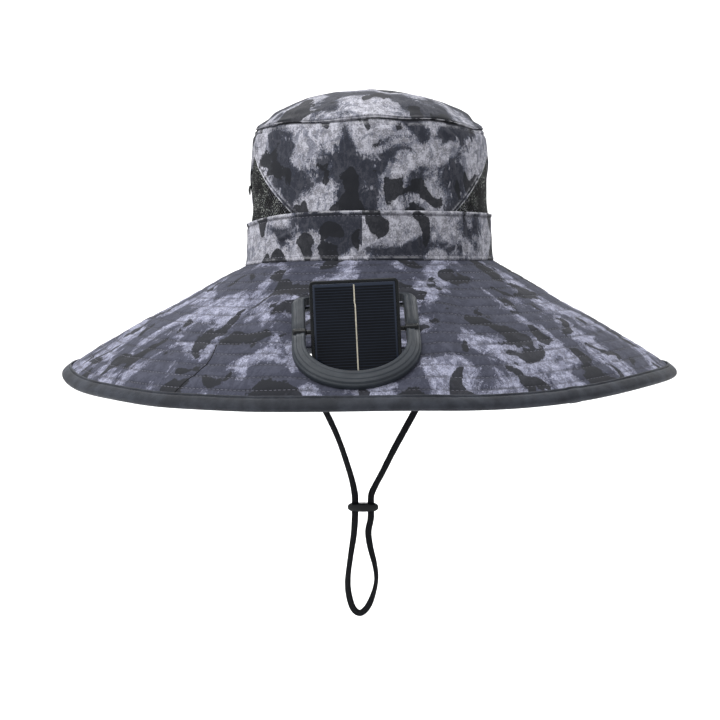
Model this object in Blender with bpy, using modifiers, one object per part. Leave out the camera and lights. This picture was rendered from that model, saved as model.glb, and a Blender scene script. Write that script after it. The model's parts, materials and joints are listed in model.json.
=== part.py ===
"""Sun hat with a wide sloping brim, net vents and a tilting solar fan set in the brim's front.

Metres, +Z up, the hat's front at -Y. The origin is the centre of the head opening, in the
plane of the seam between the crown and the brim. Angles round the hat are counted from the
front, positive towards +X.
"""

from math import asin, atan2, cos, exp, hypot, pi, radians, sin, sqrt

import bmesh
import bpy
from mathutils import Matrix, Vector

# Cloth and clearances
GAP = 0.0003
CLOTH = 0.0016
BRIM_CLOTH = 0.0020
TAPE_CLOTH = 0.0012
CUT_REACH = 0.0020

# Crown
SEAM_HALF_WIDTH = 0.0890
SEAM_HALF_DEPTH = 0.1020
BAND_HEIGHT = 0.0330
BAND_OVERLAP = 0.0070
TIP_SEAM_HEIGHT = 0.0930
DOME_RISE = 0.0275
SEAM_RIDGE = 0.0010
SEAM_EASE = 0.0005
CROWN_TURN = radians(6.0)
VENT_APEX_HEIGHT = 0.0750
VENT_SEAM_ANGLE = radians(75.0)
VENT_FRONT_ANGLE = radians(41.0)
VENT_APEX_WIDTH = radians(1.6)
VENT_APEX_GAP = 0.0012
PANEL_SLACK = radians(0.1)
SEAM_DIP = 0.0040
BAND_DIP = 0.0070
DIP_ANGLE = radians(-84.0)
DIP_SPREAD = radians(40.0)

# Brim and its bound edge
BRIM_REACH = 0.1290
BRIM_SIDE_DROP = 0.0780
BRIM_FRONT_SAG = 0.0120
BRIM_EVEN_SAG = 0.0036
RIM_LIFT = 0.0034
RIM_LIFT_ANGLE = radians(4.0)
RIM_LIFT_SPREAD = radians(18.0)
RIM_LIFT_START = 0.75
TAPE_WIDTH = 0.0080
TAPE_EASE = 0.0006
RIM_STEP = 0.01

# Fan unit, set in the brim's front
SEAT_SHARE = 0.562
SEAT_SLOPE = radians(34.0)
SEAT_SINK = 0.0012
SEAT_MARGIN = 0.0030
SEAT_FADE = 0.0300
SEAT_END_SHARE = 0.915
UNIT_ROLL = radians(4.6)
RING_HALF_WIDTH = 0.0400
RING_TOP = 0.0365
RING_BOTTOM = 0.0560
RING_SIDE_WIDTH = 0.0085
RING_TOP_WIDTH = 0.0030
RING_BOTTOM_WIDTH = 0.0118
RING_CORNER = 0.0060
RING_INNER_CORNER = 0.35
RING_HEIGHT = 0.0062
BRIM_HOLE_MARGIN = 0.0015
BRIM_HOLE_REACH = 0.0120
RETAINER_THICKNESS = 0.0018
RETAINER_MARGIN = 0.0020

# Tilting module, held between the ring's sides
MODULE_TILT = radians(46.0)
MODULE_WIDTH = 0.0560
MODULE_LENGTH = 0.0630
MODULE_THICKNESS = 0.0080
MODULE_CORNER = 0.0030
MODULE_EDGE = 0.0005
MODULE_SIDE_GAP = RING_HALF_WIDTH - RING_SIDE_WIDTH - 0.5 * MODULE_WIDTH
MODULE_FOOT_GAP = 0.0015
AXLE_RADIUS = 0.0016
AXLE_REACH = 0.0060
PANEL_RIM = 0.0022
PANEL_THICKNESS = 0.0014
PANEL_PROUD = 0.0003

# Fan
SHROUD_RADIUS = 0.0250
SHROUD_WALL = 0.0022
SHROUD_DEPTH = 0.0105
FAN_FLOOR = 0.0030
INTAKE_WIDTH = 0.0110
INTAKE_HEIGHT = 0.0030
INTAKE_DROP = 0.0010
MOTOR_RADIUS = 0.0055
MOTOR_LENGTH = 0.0035
SHAFT_RADIUS = 0.0010
SHAFT_LENGTH = 0.0048
ROTOR_RADIUS = 0.0210
HUB_RADIUS = 0.0060
HUB_LENGTH = 0.0058
BLADE_COUNT = 7
BLADE_CHORD = 0.0075
BLADE_THICKNESS = 0.0009
BLADE_PITCH = radians(32.0)
BLADE_ROOT = 0.0036
GUARD_THICKNESS = 0.0014
GUARD_HUB_RADIUS = 0.0050
GUARD_SLOTS = 8
GUARD_BAR = 0.0016

# Press stud on the left side
STUD_RADIUS = 0.0034
STUD_THICKNESS = 0.0016
STUD_HEIGHT = 0.0545
STUD_ANGLE = radians(-84.0)

# Chin cord and its two-hole lock
CORD_RADIUS = 0.0021
CORD_STEP = 0.0120
CORD_FINE_STEPS = 16
LOCK_HALF_WIDTH = 0.0113
LOCK_HALF_DEPTH = 0.0046
LOCK_HEIGHT = 0.0062
LOCK_CENTRE = (-0.0047, 0.0, -0.1798)
LOCK_HOLE_SPACING = 0.0116

# Faces along each wall
CROWN_COLUMNS = 21
VENT_COLUMNS = 9
VENT_ROWS = 4
BAND_COLUMNS = 64
BAND_ROWS = 2
DOME_COLUMNS = 40
BRIM_COLUMNS = 72
RING_ARC_STEPS = 20
CORNER_STEPS = 3

# Crown wall, from the brim seam up: share of the tip seam's height, share of the seam's oval.
CROWN_PROFILE = [
    {"height": 0.00, "oval": 1.000},
    {"height": 0.16, "oval": 0.990},
    {"height": 0.34, "oval": 0.983},
    {"height": 0.60, "oval": 0.980},
    {"height": 0.80, "oval": 0.975},
    {"height": 0.91, "oval": 0.966},
    {"height": 0.97, "oval": 0.944},
    {"height": 1.00, "oval": 0.920},
]

# Dome of the tip, from its edge to its middle: share of the edge's oval, share of the rise.
DOME_PROFILE = [
    {"oval": 1.00, "rise": 0.00},
    {"oval": 1.00, "rise": 0.05},
    {"oval": 0.97, "rise": 0.12},
    {"oval": 0.90, "rise": 0.29},
    {"oval": 0.79, "rise": 0.51},
    {"oval": 0.61, "rise": 0.73},
    {"oval": 0.34, "rise": 0.92},
    {"oval": 0.00, "rise": 1.00},
]

# Slope of the brim, from the seam to the rim: share of the reach, share of the drop.
BRIM_PROFILE = [
    {"reach": 0.000, "drop": 0.000},
    {"reach": 0.130, "drop": 0.115},
    {"reach": 0.270, "drop": 0.252},
    {"reach": 0.410, "drop": 0.385},
    {"reach": 0.550, "drop": 0.512},
    {"reach": 0.690, "drop": 0.647},
    {"reach": 0.830, "drop": 0.789},
    {"reach": 0.940, "drop": 0.912},
    {"reach": 1.000, "drop": 1.000},
]

# Soft dents in the crown: angle in degrees, share of the seam height, depth as a share of the
# cloth, spread in degrees and as a share of the height. A negative depth bulges outwards.
CROWN_DENTS = [
    {"angle": -44, "height": 0.86, "depth": 1.4, "across": 12, "along": 0.10},
    {"angle": -18, "height": 0.62, "depth": 0.8, "across": 10, "along": 0.18},
    {"angle": 14, "height": 0.80, "depth": 1.1, "across": 9, "along": 0.12},
    {"angle": 38, "height": 0.60, "depth": 1.0, "across": 8, "along": 0.20},
    {"angle": 62, "height": 0.90, "depth": -0.7, "across": 12, "along": 0.10},
    {"angle": 100, "height": 0.55, "depth": 1.2, "across": 14, "along": 0.15},
    {"angle": 165, "height": 0.70, "depth": 1.3, "across": 16, "along": 0.16},
    {"angle": -130, "height": 0.75, "depth": 1.2, "across": 14, "along": 0.14},
    {"angle": -84, "height": 0.45, "depth": 0.8, "across": 10, "along": 0.14},
]

# Folds pressed into the band, with the columns of the crown's dents.
BAND_FOLDS = [
    {"angle": -46, "height": 0.15, "depth": 0.7, "across": 6, "along": 0.05},
    {"angle": -30, "height": 0.20, "depth": 0.5, "across": 7, "along": 0.05},
    {"angle": 50, "height": 0.17, "depth": 0.6, "across": 3, "along": 0.20},
    {"angle": 60, "height": 0.17, "depth": -0.5, "across": 3, "along": 0.20},
    {"angle": 70, "height": 0.15, "depth": 0.6, "across": 3, "along": 0.20},
    {"angle": 150, "height": 0.17, "depth": 0.6, "across": 8, "along": 0.10},
]

# Waves of the tip seam: angle in degrees, rise as a share of the cloth, spread in degrees.
SEAM_WAVES = [
    {"angle": -68, "rise": -0.9, "across": 14},
    {"angle": -22, "rise": -0.6, "across": 12},
    {"angle": 6, "rise": 1.0, "across": 10},
    {"angle": 34, "rise": 0.8, "across": 12},
    {"angle": 66, "rise": -1.4, "across": 12},
    {"angle": 140, "rise": 0.9, "across": 20},
    {"angle": -140, "rise": -0.8, "across": 22},
]

# Slow waves of the rim: angle in degrees, rise as a share of the brim's drop, spread in degrees.
RIM_WAVES = [
    {"angle": -58, "rise": -0.038, "across": 16},
    {"angle": -36, "rise": -0.018, "across": 10},
    {"angle": 60, "rise": 0.020, "across": 16},
    {"angle": 112, "rise": -0.020, "across": 20},
    {"angle": 150, "rise": 0.024, "across": 20},
    {"angle": -112, "rise": -0.014, "across": 22},
    {"angle": -152, "rise": 0.020, "across": 20},
]

# Section of the ring, round its wall: share across from inside to outside, share of the height.
RING_SECTION = [
    {"across": 0.00, "height": 0.00},
    {"across": 0.00, "height": 0.86},
    {"across": 0.12, "height": 1.00},
    {"across": 0.36, "height": 1.00},
    {"across": 0.46, "height": 0.74},
    {"across": 0.78, "height": 0.66},
    {"across": 0.84, "height": 0.38},
    {"across": 1.00, "height": 0.30},
    {"across": 1.00, "height": 0.00},
]

# Chin cord, from the band's left inside down through the lock, round the loop and up again.
CORD_ROUTE = [
    (-0.0840, 0.000, 0.0150),
    (-0.0836, 0.000, 0.0050),
    (-0.0800, 0.000, -0.0090),
    (-0.0700, 0.000, -0.0330),
    (-0.0570, 0.000, -0.0600),
    (-0.0440, 0.000, -0.0860),
    (-0.0322, 0.000, -0.1093),
    (-0.0228, 0.000, -0.1296),
    (-0.0145, 0.000, -0.1539),
    (-0.0109, 0.000, -0.1690),
    (-0.0105, 0.000, -0.1798),
    (-0.0107, 0.000, -0.1900),
    (-0.0116, 0.001, -0.2010),
    (-0.0138, 0.001, -0.2158),
    (-0.0158, 0.001, -0.2324),
    (-0.0152, 0.001, -0.2440),
    (-0.0120, 0.001, -0.2545),
    (-0.0068, 0.001, -0.2580),
    (-0.0012, 0.000, -0.2530),
    (0.0030, 0.000, -0.2430),
    (0.0050, 0.000, -0.2324),
    (0.0038, 0.000, -0.2218),
    (0.0006, 0.000, -0.2090),
    (-0.0008, 0.000, -0.1980),
    (0.0009, 0.000, -0.1885),
    (0.0011, 0.000, -0.1798),
    (0.0013, 0.000, -0.1710),
    (0.0042, 0.000, -0.1640),
    (0.0095, 0.000, -0.1540),
    (0.0185, 0.000, -0.1361),
    (0.0334, 0.000, -0.1086),
    (0.0450, 0.000, -0.0860),
    (0.0575, 0.000, -0.0600),
    (0.0703, 0.000, -0.0330),
    (0.0800, 0.000, -0.0090),
    (0.0836, 0.000, 0.0050),
    (0.0840, 0.000, 0.0150),
]

# Finishes: base colour, roughness, metallic
FINISHES = {
    "crown_print": ((0.24, 0.25, 0.31), 0.85, 0.0),
    "brim_print": ((0.20, 0.21, 0.29), 0.85, 0.0),
    "vent_net": ((0.012, 0.012, 0.014), 0.80, 0.0),
    "edge_tape": ((0.028, 0.030, 0.034), 0.85, 0.0),
    "ring_plastic": ((0.055, 0.062, 0.066), 0.42, 0.0),
    "housing_plastic": ((0.015, 0.016, 0.018), 0.35, 0.0),
    "solar_cell": ((0.004, 0.006, 0.012), 0.12, 0.0),
    "fan_plastic": ((0.022, 0.022, 0.024), 0.40, 0.0),
    "cord_braid": ((0.010, 0.010, 0.012), 0.90, 0.0),
    "lock_plastic": ((0.014, 0.014, 0.016), 0.45, 0.0),
    "stud_metal": ((0.05, 0.05, 0.055), 0.40, 0.8),
}


def table_value(table, along, value, place):
    """Smooth reading of one column of a table against another that only rises or only falls."""
    rows = sorted(table, key=lambda row: row[along])
    place = min(max(place, rows[0][along]), rows[-1][along])
    last = len(rows) - 2
    index = next(i for i in range(last + 1) if place <= rows[i + 1][along] or i == last)
    low, high = rows[index], rows[index + 1]
    width = high[along] - low[along]

    def slope(number):
        before = rows[max(number - 1, 0)]
        after = rows[min(number + 1, len(rows) - 1)]
        return (after[value] - before[value]) / (after[along] - before[along])

    part = (place - low[along]) / width
    square, cube = part * part, part * part * part
    return (
        low[value] * (2 * cube - 3 * square + 1)
        + slope(index) * width * (cube - 2 * square + part)
        + high[value] * (3 * square - 2 * cube)
        + slope(index + 1) * width * (cube - square)
    )


def turned(angle):
    """An angle brought between minus and plus half a turn."""
    return (angle + pi) % (2 * pi) - pi


def bump(angle, row):
    """Height of one wave or dent at an angle, 1 at its middle."""
    off = turned(angle - radians(row["angle"])) / radians(row["across"])
    return exp(-off * off)


def dent_depth(rows, angle, height):
    """How far the cloth is pressed in at an angle and a height."""
    depth = 0.0
    for row in rows:
        off = (height / TIP_SEAM_HEIGHT - row["height"]) / row["along"]
        depth += row["depth"] * CLOTH * bump(angle, row) * exp(-off * off)
    return depth


def seam_dip(angle):
    """How far the seams sag at an angle, 1 where they sag most, at the left side."""
    off = turned(angle - DIP_ANGLE) / DIP_SPREAD
    return exp(-off * off)


def wall_dip(angle, height):
    """Sag of the crown's wall at an angle and a height: none at the tip seam."""
    if height < BAND_HEIGHT:
        sag = SEAM_DIP + (BAND_DIP - SEAM_DIP) * height / BAND_HEIGHT
    else:
        sag = BAND_DIP * (TIP_SEAM_HEIGHT - height) / (TIP_SEAM_HEIGHT - BAND_HEIGHT)
    return sag * seam_dip(angle)


def oval_point(angle, inset, height):
    """A point inset from the seam's oval, at an angle and a height."""
    return Vector((
        (SEAM_HALF_WIDTH - inset) * sin(angle),
        -(SEAM_HALF_DEPTH - inset) * cos(angle),
        height,
    ))


def wall_inset(height):
    """How far the band's outer face lies inside the seam's oval at a height."""
    share = table_value(CROWN_PROFILE, "height", "oval", height / TIP_SEAM_HEIGHT)
    return SEAM_HALF_WIDTH * (1.0 - share)


def band_point(angle, height):
    """Outer face of the band."""
    inset = wall_inset(height) + dent_depth(BAND_FOLDS, angle, height)
    return oval_point(angle, inset, height - wall_dip(angle, height))


def crown_point(angle, height):
    """Outer face of the crown's wall, which runs down behind the band."""
    free = min(max((height - BAND_HEIGHT) / BAND_OVERLAP, 0.0), 1.0)
    behind_fold = max(dent_depth(BAND_FOLDS, angle, height), 0.0) * (1.0 - free)
    dent = dent_depth(CROWN_DENTS, angle, height) * free + behind_fold
    inset = wall_inset(height) + CLOTH + GAP + dent
    return oval_point(angle, inset, height - wall_dip(angle, height))


def seam_lift(angle):
    """Rise of the wavy tip seam over its level height."""
    return sum(row["rise"] * CLOTH * bump(angle, row) for row in SEAM_WAVES)


def tip_point(angle, share):
    """Outer face of the domed tip, from share 0 at its edge to 1 at its middle."""
    row_place = share * (len(DOME_PROFILE) - 1)
    low = DOME_PROFILE[min(int(row_place), len(DOME_PROFILE) - 2)]
    high = DOME_PROFILE[min(int(row_place) + 1, len(DOME_PROFILE) - 1)]
    part = row_place - DOME_PROFILE.index(low)
    oval = low["oval"] + (high["oval"] - low["oval"]) * part
    rise = low["rise"] + (high["rise"] - low["rise"]) * part
    edge = oval_point(angle, wall_inset(TIP_SEAM_HEIGHT) + CLOTH - SEAM_RIDGE, 0.0)
    lift = TIP_SEAM_HEIGHT + SEAM_EASE + seam_lift(angle) * oval
    return Vector((edge.x * oval, edge.y * oval, lift + DOME_RISE * rise))


def rim_drop(angle):
    """Drop of the brim's rim at an angle: the fan unit pulls the front down."""
    sag = BRIM_FRONT_SAG * max(cos(angle), 0.0) ** 2
    waves = sum(row["rise"] * bump(angle, row) for row in RIM_WAVES)
    return (BRIM_SIDE_DROP + sag) * (1.0 - waves)


def rim_lift(angle, share):
    """Rise of the rim in front, where the flat fan unit straightens it."""
    off = turned(angle - RIM_LIFT_ANGLE) / RIM_LIFT_SPREAD
    near = max(share - RIM_LIFT_START, 0.0) / (1.0 - RIM_LIFT_START)
    return RIM_LIFT * exp(-off * off) * near * near


def sloped_point(angle, share):
    """Upper face of the brim before the fan unit's seat is pressed flat."""
    drop = table_value(BRIM_PROFILE, "reach", "drop", share)
    even = rim_drop(angle) * share + (BRIM_SIDE_DROP + BRIM_EVEN_SAG) * (1.0 - share)
    dip = SEAM_DIP * seam_dip(angle) * (1.0 - share) ** 2
    height = -GAP - dip - even * drop + rim_lift(angle, share)
    return oval_point(angle, -BRIM_REACH * share, height)


# Frames of the fan unit: X across, Y up the slope, Z out of the brim.
SEAT = (
    Matrix.Translation(sloped_point(0.0, SEAT_SHARE))
    @ Matrix.Rotation(SEAT_SLOPE, 4, "X")
    @ Matrix.Rotation(UNIT_ROLL, 4, "Z")
    @ Matrix.Translation((0.0, 0.0, -SEAT_SINK))
)
PIVOT_LIFT = GAP + 0.5 * RING_HEIGHT
PIVOT = SEAT @ Matrix.Translation((0.0, 0.0, PIVOT_LIFT))


def seat_hold(x, y):
    """How firmly the ring holds the brim flat: 1 under it, fading to 0 round it."""
    middle = RING_HALF_WIDTH - RING_BOTTOM
    if y < middle:
        off = hypot(x, y - middle) - RING_HALF_WIDTH
    else:
        off = hypot(max(abs(x) - RING_HALF_WIDTH, 0.0), max(y - RING_TOP, 0.0))
    free = min(max(off - SEAT_MARGIN, 0.0) / SEAT_FADE, 1.0)
    return 1.0 - free * free * (3.0 - 2.0 * free)


def brim_point(angle, share):
    """Upper face of the brim, flat under the fan unit."""
    point = sloped_point(angle, share)
    if cos(angle) < 0.0:
        return point
    local = SEAT.inverted() @ point
    end = max(share - SEAT_END_SHARE, 0.0) / (1.0 - SEAT_END_SHARE)
    hold = seat_hold(local.x, local.y) * (1.0 - end * end * (3.0 - 2.0 * end))
    local.z *= 1.0 - hold
    return SEAT @ local


def material_for(finish):
    """One Principled material for a piece."""
    colour, roughness, metallic = FINISHES[finish]
    material = bpy.data.materials.new(finish)
    material.use_nodes = True
    shader = material.node_tree.nodes["Principled BSDF"]
    shader.inputs["Base Color"].default_value = (*colour, 1.0)
    shader.inputs["Roughness"].default_value = roughness
    shader.inputs["Metallic"].default_value = metallic
    return material


def add_part(name, mesh, finish, place=None, parent=None):
    """Put a piece in the hat's collection."""
    mesh.name = name
    mesh.materials.append(material_for(finish))
    mesh.shade_smooth()
    mesh.set_sharp_from_angle(angle=radians(35.0))
    part = bpy.data.objects.new(name, mesh)
    HAT.objects.link(part)
    if parent:
        part.parent = parent
    if place:
        part.matrix_local = place
    return part


def add_cutter(name, mesh, place=None, parent=None):
    """Put a cutting shape in its own collection, left out of the model."""
    cutter = bpy.data.objects.new(name, mesh)
    cutter.hide_render = True
    cutter.display_type = "WIRE"
    CUTTERS.objects.link(cutter)
    if parent:
        cutter.parent = parent
    if place:
        cutter.matrix_local = place
    return cutter


def boolean(part, tool, operation):
    """Cut a tool from a part, or join it on."""
    step = part.modifiers.new(operation.title(), "BOOLEAN")
    step.operation = operation
    step.object = tool
    step.solver = "EXACT"


def mesh_from(build):
    """A mesh made by a function that fills a bmesh."""
    work = bmesh.new()
    build(work)
    mesh = bpy.data.meshes.new("work")
    work.to_mesh(mesh)
    work.free()
    return mesh


def sheet_mesh(columns, rows, point):
    """A grid laid on a surface: point takes shares across and up, and doubles are merged."""

    def build(work):
        bmesh.ops.create_grid(work, x_segments=columns, y_segments=rows, size=1.0)
        for vertex in work.verts:
            vertex.co = point(0.5 * (vertex.co.x + 1.0), 0.5 * (vertex.co.y + 1.0))
        bmesh.ops.remove_doubles(work, verts=work.verts, dist=0.00001)

    return mesh_from(build)


def add_wall(name, columns, rows, point, thickness, finish):
    """A cloth wall: an open sheet with its thickness on the inside."""
    part = add_part(name, sheet_mesh(columns, rows, point), finish)
    wall = part.modifiers.new("Cloth", "SOLIDIFY")
    wall.thickness = thickness
    wall.offset = -1.0
    wall.use_even_offset = True
    return part


def cylinder_mesh(radius, low, high, sides=32):
    """A closed cylinder along Z between two heights."""

    def build(work):
        bmesh.ops.create_cone(
            work,
            cap_ends=True,
            segments=sides,
            radius1=radius,
            radius2=radius,
            depth=high - low,
            matrix=Matrix.Translation((0.0, 0.0, 0.5 * (low + high))),
        )

    return mesh_from(build)


def box_mesh(size, centre):
    """A closed box of a size round a centre."""

    def build(work):
        place = Matrix.Translation(centre) @ Matrix.Diagonal((*size, 1.0))
        bmesh.ops.create_cube(work, size=1.0, matrix=place)

    return mesh_from(build)


def vent_edge(height):
    """Angle between the side seam and a vent's edge at a height, 0 above its apex."""
    share = (VENT_APEX_HEIGHT - height) / (VENT_APEX_HEIGHT - BAND_HEIGHT)
    share = min(max(share, 0.0), 1.0 + BAND_OVERLAP / (VENT_APEX_HEIGHT - BAND_HEIGHT))
    return (VENT_SEAM_ANGLE - VENT_FRONT_ANGLE) * share


def make_crown():
    """Front and back panels, two net vents, the domed tip and the band."""
    bottom = BAND_HEIGHT - BAND_OVERLAP
    seam_gap = 0.5 * GAP / SEAM_HALF_WIDTH + PANEL_SLACK
    heights = [bottom, BAND_HEIGHT + GAP, 0.5 * (BAND_HEIGHT + VENT_APEX_HEIGHT), VENT_APEX_HEIGHT]
    heights += [
        TIP_SEAM_HEIGHT * row["height"]
        for row in CROWN_PROFILE
        if TIP_SEAM_HEIGHT * row["height"] > VENT_APEX_HEIGHT
    ]

    def panel(middle, half_span, side):
        def point(across, up):
            place = up * (len(heights) - 1)
            low = min(int(place), len(heights) - 2)
            height = heights[low] + (heights[low + 1] - heights[low]) * (place - low)
            edge = half_span + side * vent_edge(height) - seam_gap
            angle = CROWN_TURN + middle + (2.0 * across - 1.0) * edge
            top = seam_lift(angle) if round(place) == len(heights) - 1 else 0.0
            return crown_point(angle, height) + Vector((0.0, 0.0, top))

        return point

    rows = len(heights) - 1
    front = panel(0.0, VENT_SEAM_ANGLE, -1.0)
    back = panel(pi, pi - VENT_SEAM_ANGLE, -1.0)
    add_wall("crown_front", CROWN_COLUMNS, rows, front, CLOTH, "crown_print")
    add_wall("crown_back", CROWN_COLUMNS + 4, rows, back, CLOTH, "crown_print")

    for name, side in (("vent_net_left", -1.0), ("vent_net_right", 1.0)):

        def net(across, up, side=side):
            height = bottom + (VENT_APEX_HEIGHT - VENT_APEX_GAP - bottom) * up
            half = max(vent_edge(height) - seam_gap, 0.5 * VENT_APEX_WIDTH)
            angle = CROWN_TURN + side * VENT_SEAM_ANGLE + (2.0 * across - 1.0) * half
            return crown_point(angle, height)

        add_wall(name, VENT_COLUMNS, VENT_ROWS, net, CLOTH, "vent_net")

    def tip(across, up):
        return tip_point(across * 2.0 * pi, up)

    def band(across, up):
        return band_point(across * 2.0 * pi, BAND_HEIGHT * up)

    add_wall("crown_tip", DOME_COLUMNS, len(DOME_PROFILE) - 1, tip, CLOTH, "crown_print")
    add_wall("crown_band", BAND_COLUMNS, BAND_ROWS, band, CLOTH, "crown_print")


def make_brim():
    """The sloping brim with the fan unit's opening, and the tape that binds its rim."""
    shares = [row["reach"] for row in BRIM_PROFILE]
    lead_in = CLOTH / BRIM_REACH

    def top(across, up):
        index = round((1.0 - up) * len(shares))
        share = -lead_in if index == 0 else shares[index - 1]
        if index == 0:
            angle = across * 2.0 * pi
            return oval_point(angle, CLOTH, -GAP - SEAM_DIP * seam_dip(angle))
        return brim_point(across * 2.0 * pi, share)

    brim = add_wall("brim", BRIM_COLUMNS, len(shares), top, BRIM_CLOTH, "brim_print")
    outline = d_outline(0.0, BRIM_HOLE_MARGIN)
    opening = prism_mesh(outline, -BRIM_HOLE_REACH, BRIM_HOLE_REACH)
    hole = add_cutter("brim_opening", opening, SEAT)
    boolean(brim, hole, "DIFFERENCE")

    inner = TAPE_EASE
    outer = TAPE_EASE + TAPE_CLOTH
    under = -BRIM_CLOTH
    section = [
        {"along": TAPE_WIDTH, "over": inner},
        {"along": TAPE_WIDTH, "over": outer},
        {"along": 0.0, "over": outer},
        {"along": -outer, "over": 0.5 * under},
        {"along": 0.0, "over": under - outer},
        {"along": TAPE_WIDTH, "over": under - outer},
        {"along": TAPE_WIDTH, "over": under - inner},
        {"along": -inner, "over": under - inner},
        {"along": -inner, "over": inner},
    ]

    def tape(across, up):
        angle = across * 2.0 * pi
        edge = brim_point(angle, 1.0)
        inward = (brim_point(angle, 1.0 - TAPE_WIDTH / BRIM_REACH) - edge).normalized()
        ahead = brim_point(angle + RIM_STEP, 1.0) - brim_point(angle - RIM_STEP, 1.0)
        normal = ahead.cross(inward).normalized()
        row = section[round(up * len(section)) % len(section)]
        return edge + inward * row["along"] + normal * row["over"]

    mesh = sheet_mesh(BRIM_COLUMNS, len(section), tape)
    add_part("rim_binding", closed_outward(mesh), "edge_tape")


def closed_outward(mesh):
    """The same closed mesh with its faces turned outwards."""
    work = bmesh.new()
    work.from_mesh(mesh)
    bmesh.ops.recalc_face_normals(work, faces=work.faces)
    work.to_mesh(mesh)
    work.free()
    return mesh


def d_outline(share, margin=0.0):
    """Points of the ring's D shape, from share 0 on its inside edge to 1 on its outside."""
    side = RING_HALF_WIDTH - RING_SIDE_WIDTH * (1.0 - share) + margin
    top = RING_TOP - RING_TOP_WIDTH * (1.0 - share) + margin
    bottom = RING_BOTTOM - RING_BOTTOM_WIDTH * (1.0 - share) + margin
    corner = RING_CORNER * (RING_INNER_CORNER + (1.0 - RING_INNER_CORNER) * share)
    points = []
    for corner_step in range(CORNER_STEPS + 1):
        turn = 0.5 * pi * corner_step / CORNER_STEPS
        points.append((side - corner + corner * sin(turn), top - corner + corner * cos(turn)))
    points.append((side, 0.5 * top))
    points.append((side, 0.0))
    for step in range(RING_ARC_STEPS + 1):
        turn = pi * step / RING_ARC_STEPS
        points.append((side * cos(turn), side - bottom - side * sin(turn)))
    points.append((-side, 0.0))
    points.append((-side, 0.5 * top))
    for corner_step in range(CORNER_STEPS + 1):
        turn = 0.5 * pi * (1 - corner_step / CORNER_STEPS)
        points.append((-side + corner - corner * sin(turn), top - corner + corner * cos(turn)))
    return [Vector((x, y, 0.0)) for x, y in points]


def prism_mesh(outline, low, high):
    """A closed prism of an outline between two heights."""

    def build(work):
        face = work.faces.new([work.verts.new(point) for point in outline])
        bmesh.ops.translate(work, verts=work.verts, vec=(0.0, 0.0, low))
        bmesh.ops.recalc_face_normals(work, faces=work.faces)
        grown = bmesh.ops.extrude_face_region(work, geom=[face])
        top = [item for item in grown["geom"] if isinstance(item, bmesh.types.BMVert)]
        bmesh.ops.translate(work, verts=top, vec=(0.0, 0.0, high - low))
        bmesh.ops.recalc_face_normals(work, faces=work.faces)

    return mesh_from(build)


def d_ring(section, height, base):
    """A ring of the D shape with a section of shares across and up, over a base height."""
    inside = d_outline(0.0)
    outside = d_outline(1.0)

    def point(across, up):
        step = round(across * len(inside)) % len(inside)
        row = section[round(up * len(section)) % len(section)]
        flat = inside[step].lerp(outside[step], row["across"])
        return flat + Vector((0.0, 0.0, base + height * row["height"]))

    return closed_outward(sheet_mesh(len(inside), len(section), point))


def make_ring():
    """The D ring on the brim, with its two axle slots, and the retainer under the brim."""
    ring = add_part("fan_ring", d_ring(RING_SECTION, RING_HEIGHT, GAP), "ring_plastic", SEAT)
    inside = RING_HALF_WIDTH - RING_SIDE_WIDTH
    depth = AXLE_REACH + GAP - MODULE_SIDE_GAP
    width = 2.0 * (AXLE_RADIUS + GAP)
    for name, side in (("axle_slot_left", -1.0), ("axle_slot_right", 1.0)):
        centre = side * (inside + 0.5 * (depth - CUT_REACH))
        size = (depth + CUT_REACH, width, RING_HEIGHT)
        slot = box_mesh(size, (centre, 0.0, PIVOT_LIFT - 0.5 * width + 0.5 * RING_HEIGHT))
        boolean(ring, add_cutter(name, slot, SEAT), "DIFFERENCE")

    across = 1.0 - RETAINER_MARGIN / RING_SIDE_WIDTH
    section = [
        {"across": 0.0, "height": 0.0},
        {"across": 0.0, "height": 1.0},
        {"across": across, "height": 1.0},
        {"across": across, "height": 0.0},
    ]
    under = -BRIM_CLOTH - GAP - RETAINER_THICKNESS
    retainer = d_ring(section, RETAINER_THICKNESS, under)
    add_part("ring_retainer", retainer, "ring_plastic", SEAT)


def module_outline(inset):
    """Points of the module's outline, its foot rounded to fold down inside the ring."""
    side = 0.5 * MODULE_WIDTH - inset
    end = 0.5 * MODULE_LENGTH - inset
    corner = max(MODULE_CORNER - inset, MODULE_EDGE)
    inside = RING_HALF_WIDTH - RING_SIDE_WIDTH
    middle = inside - (RING_BOTTOM - RING_BOTTOM_WIDTH)
    reach = inside - MODULE_FOOT_GAP - inset
    high = atan2(sqrt(reach * reach - side * side), side)
    low = asin((end + middle) / reach)
    points = []
    for step in range(CORNER_STEPS + 1):
        turn = 0.5 * pi * step / CORNER_STEPS
        points.append((side - corner + corner * sin(turn), end - corner + corner * cos(turn)))
    for step in range(CORNER_STEPS + 1):
        turn = high + (low - high) * step / CORNER_STEPS
        points.append((reach * cos(turn), middle - reach * sin(turn)))
    points += [(-x, y) for x, y in reversed(points)]
    return [Vector((x, y, 0.0)) for x, y in points]


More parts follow.
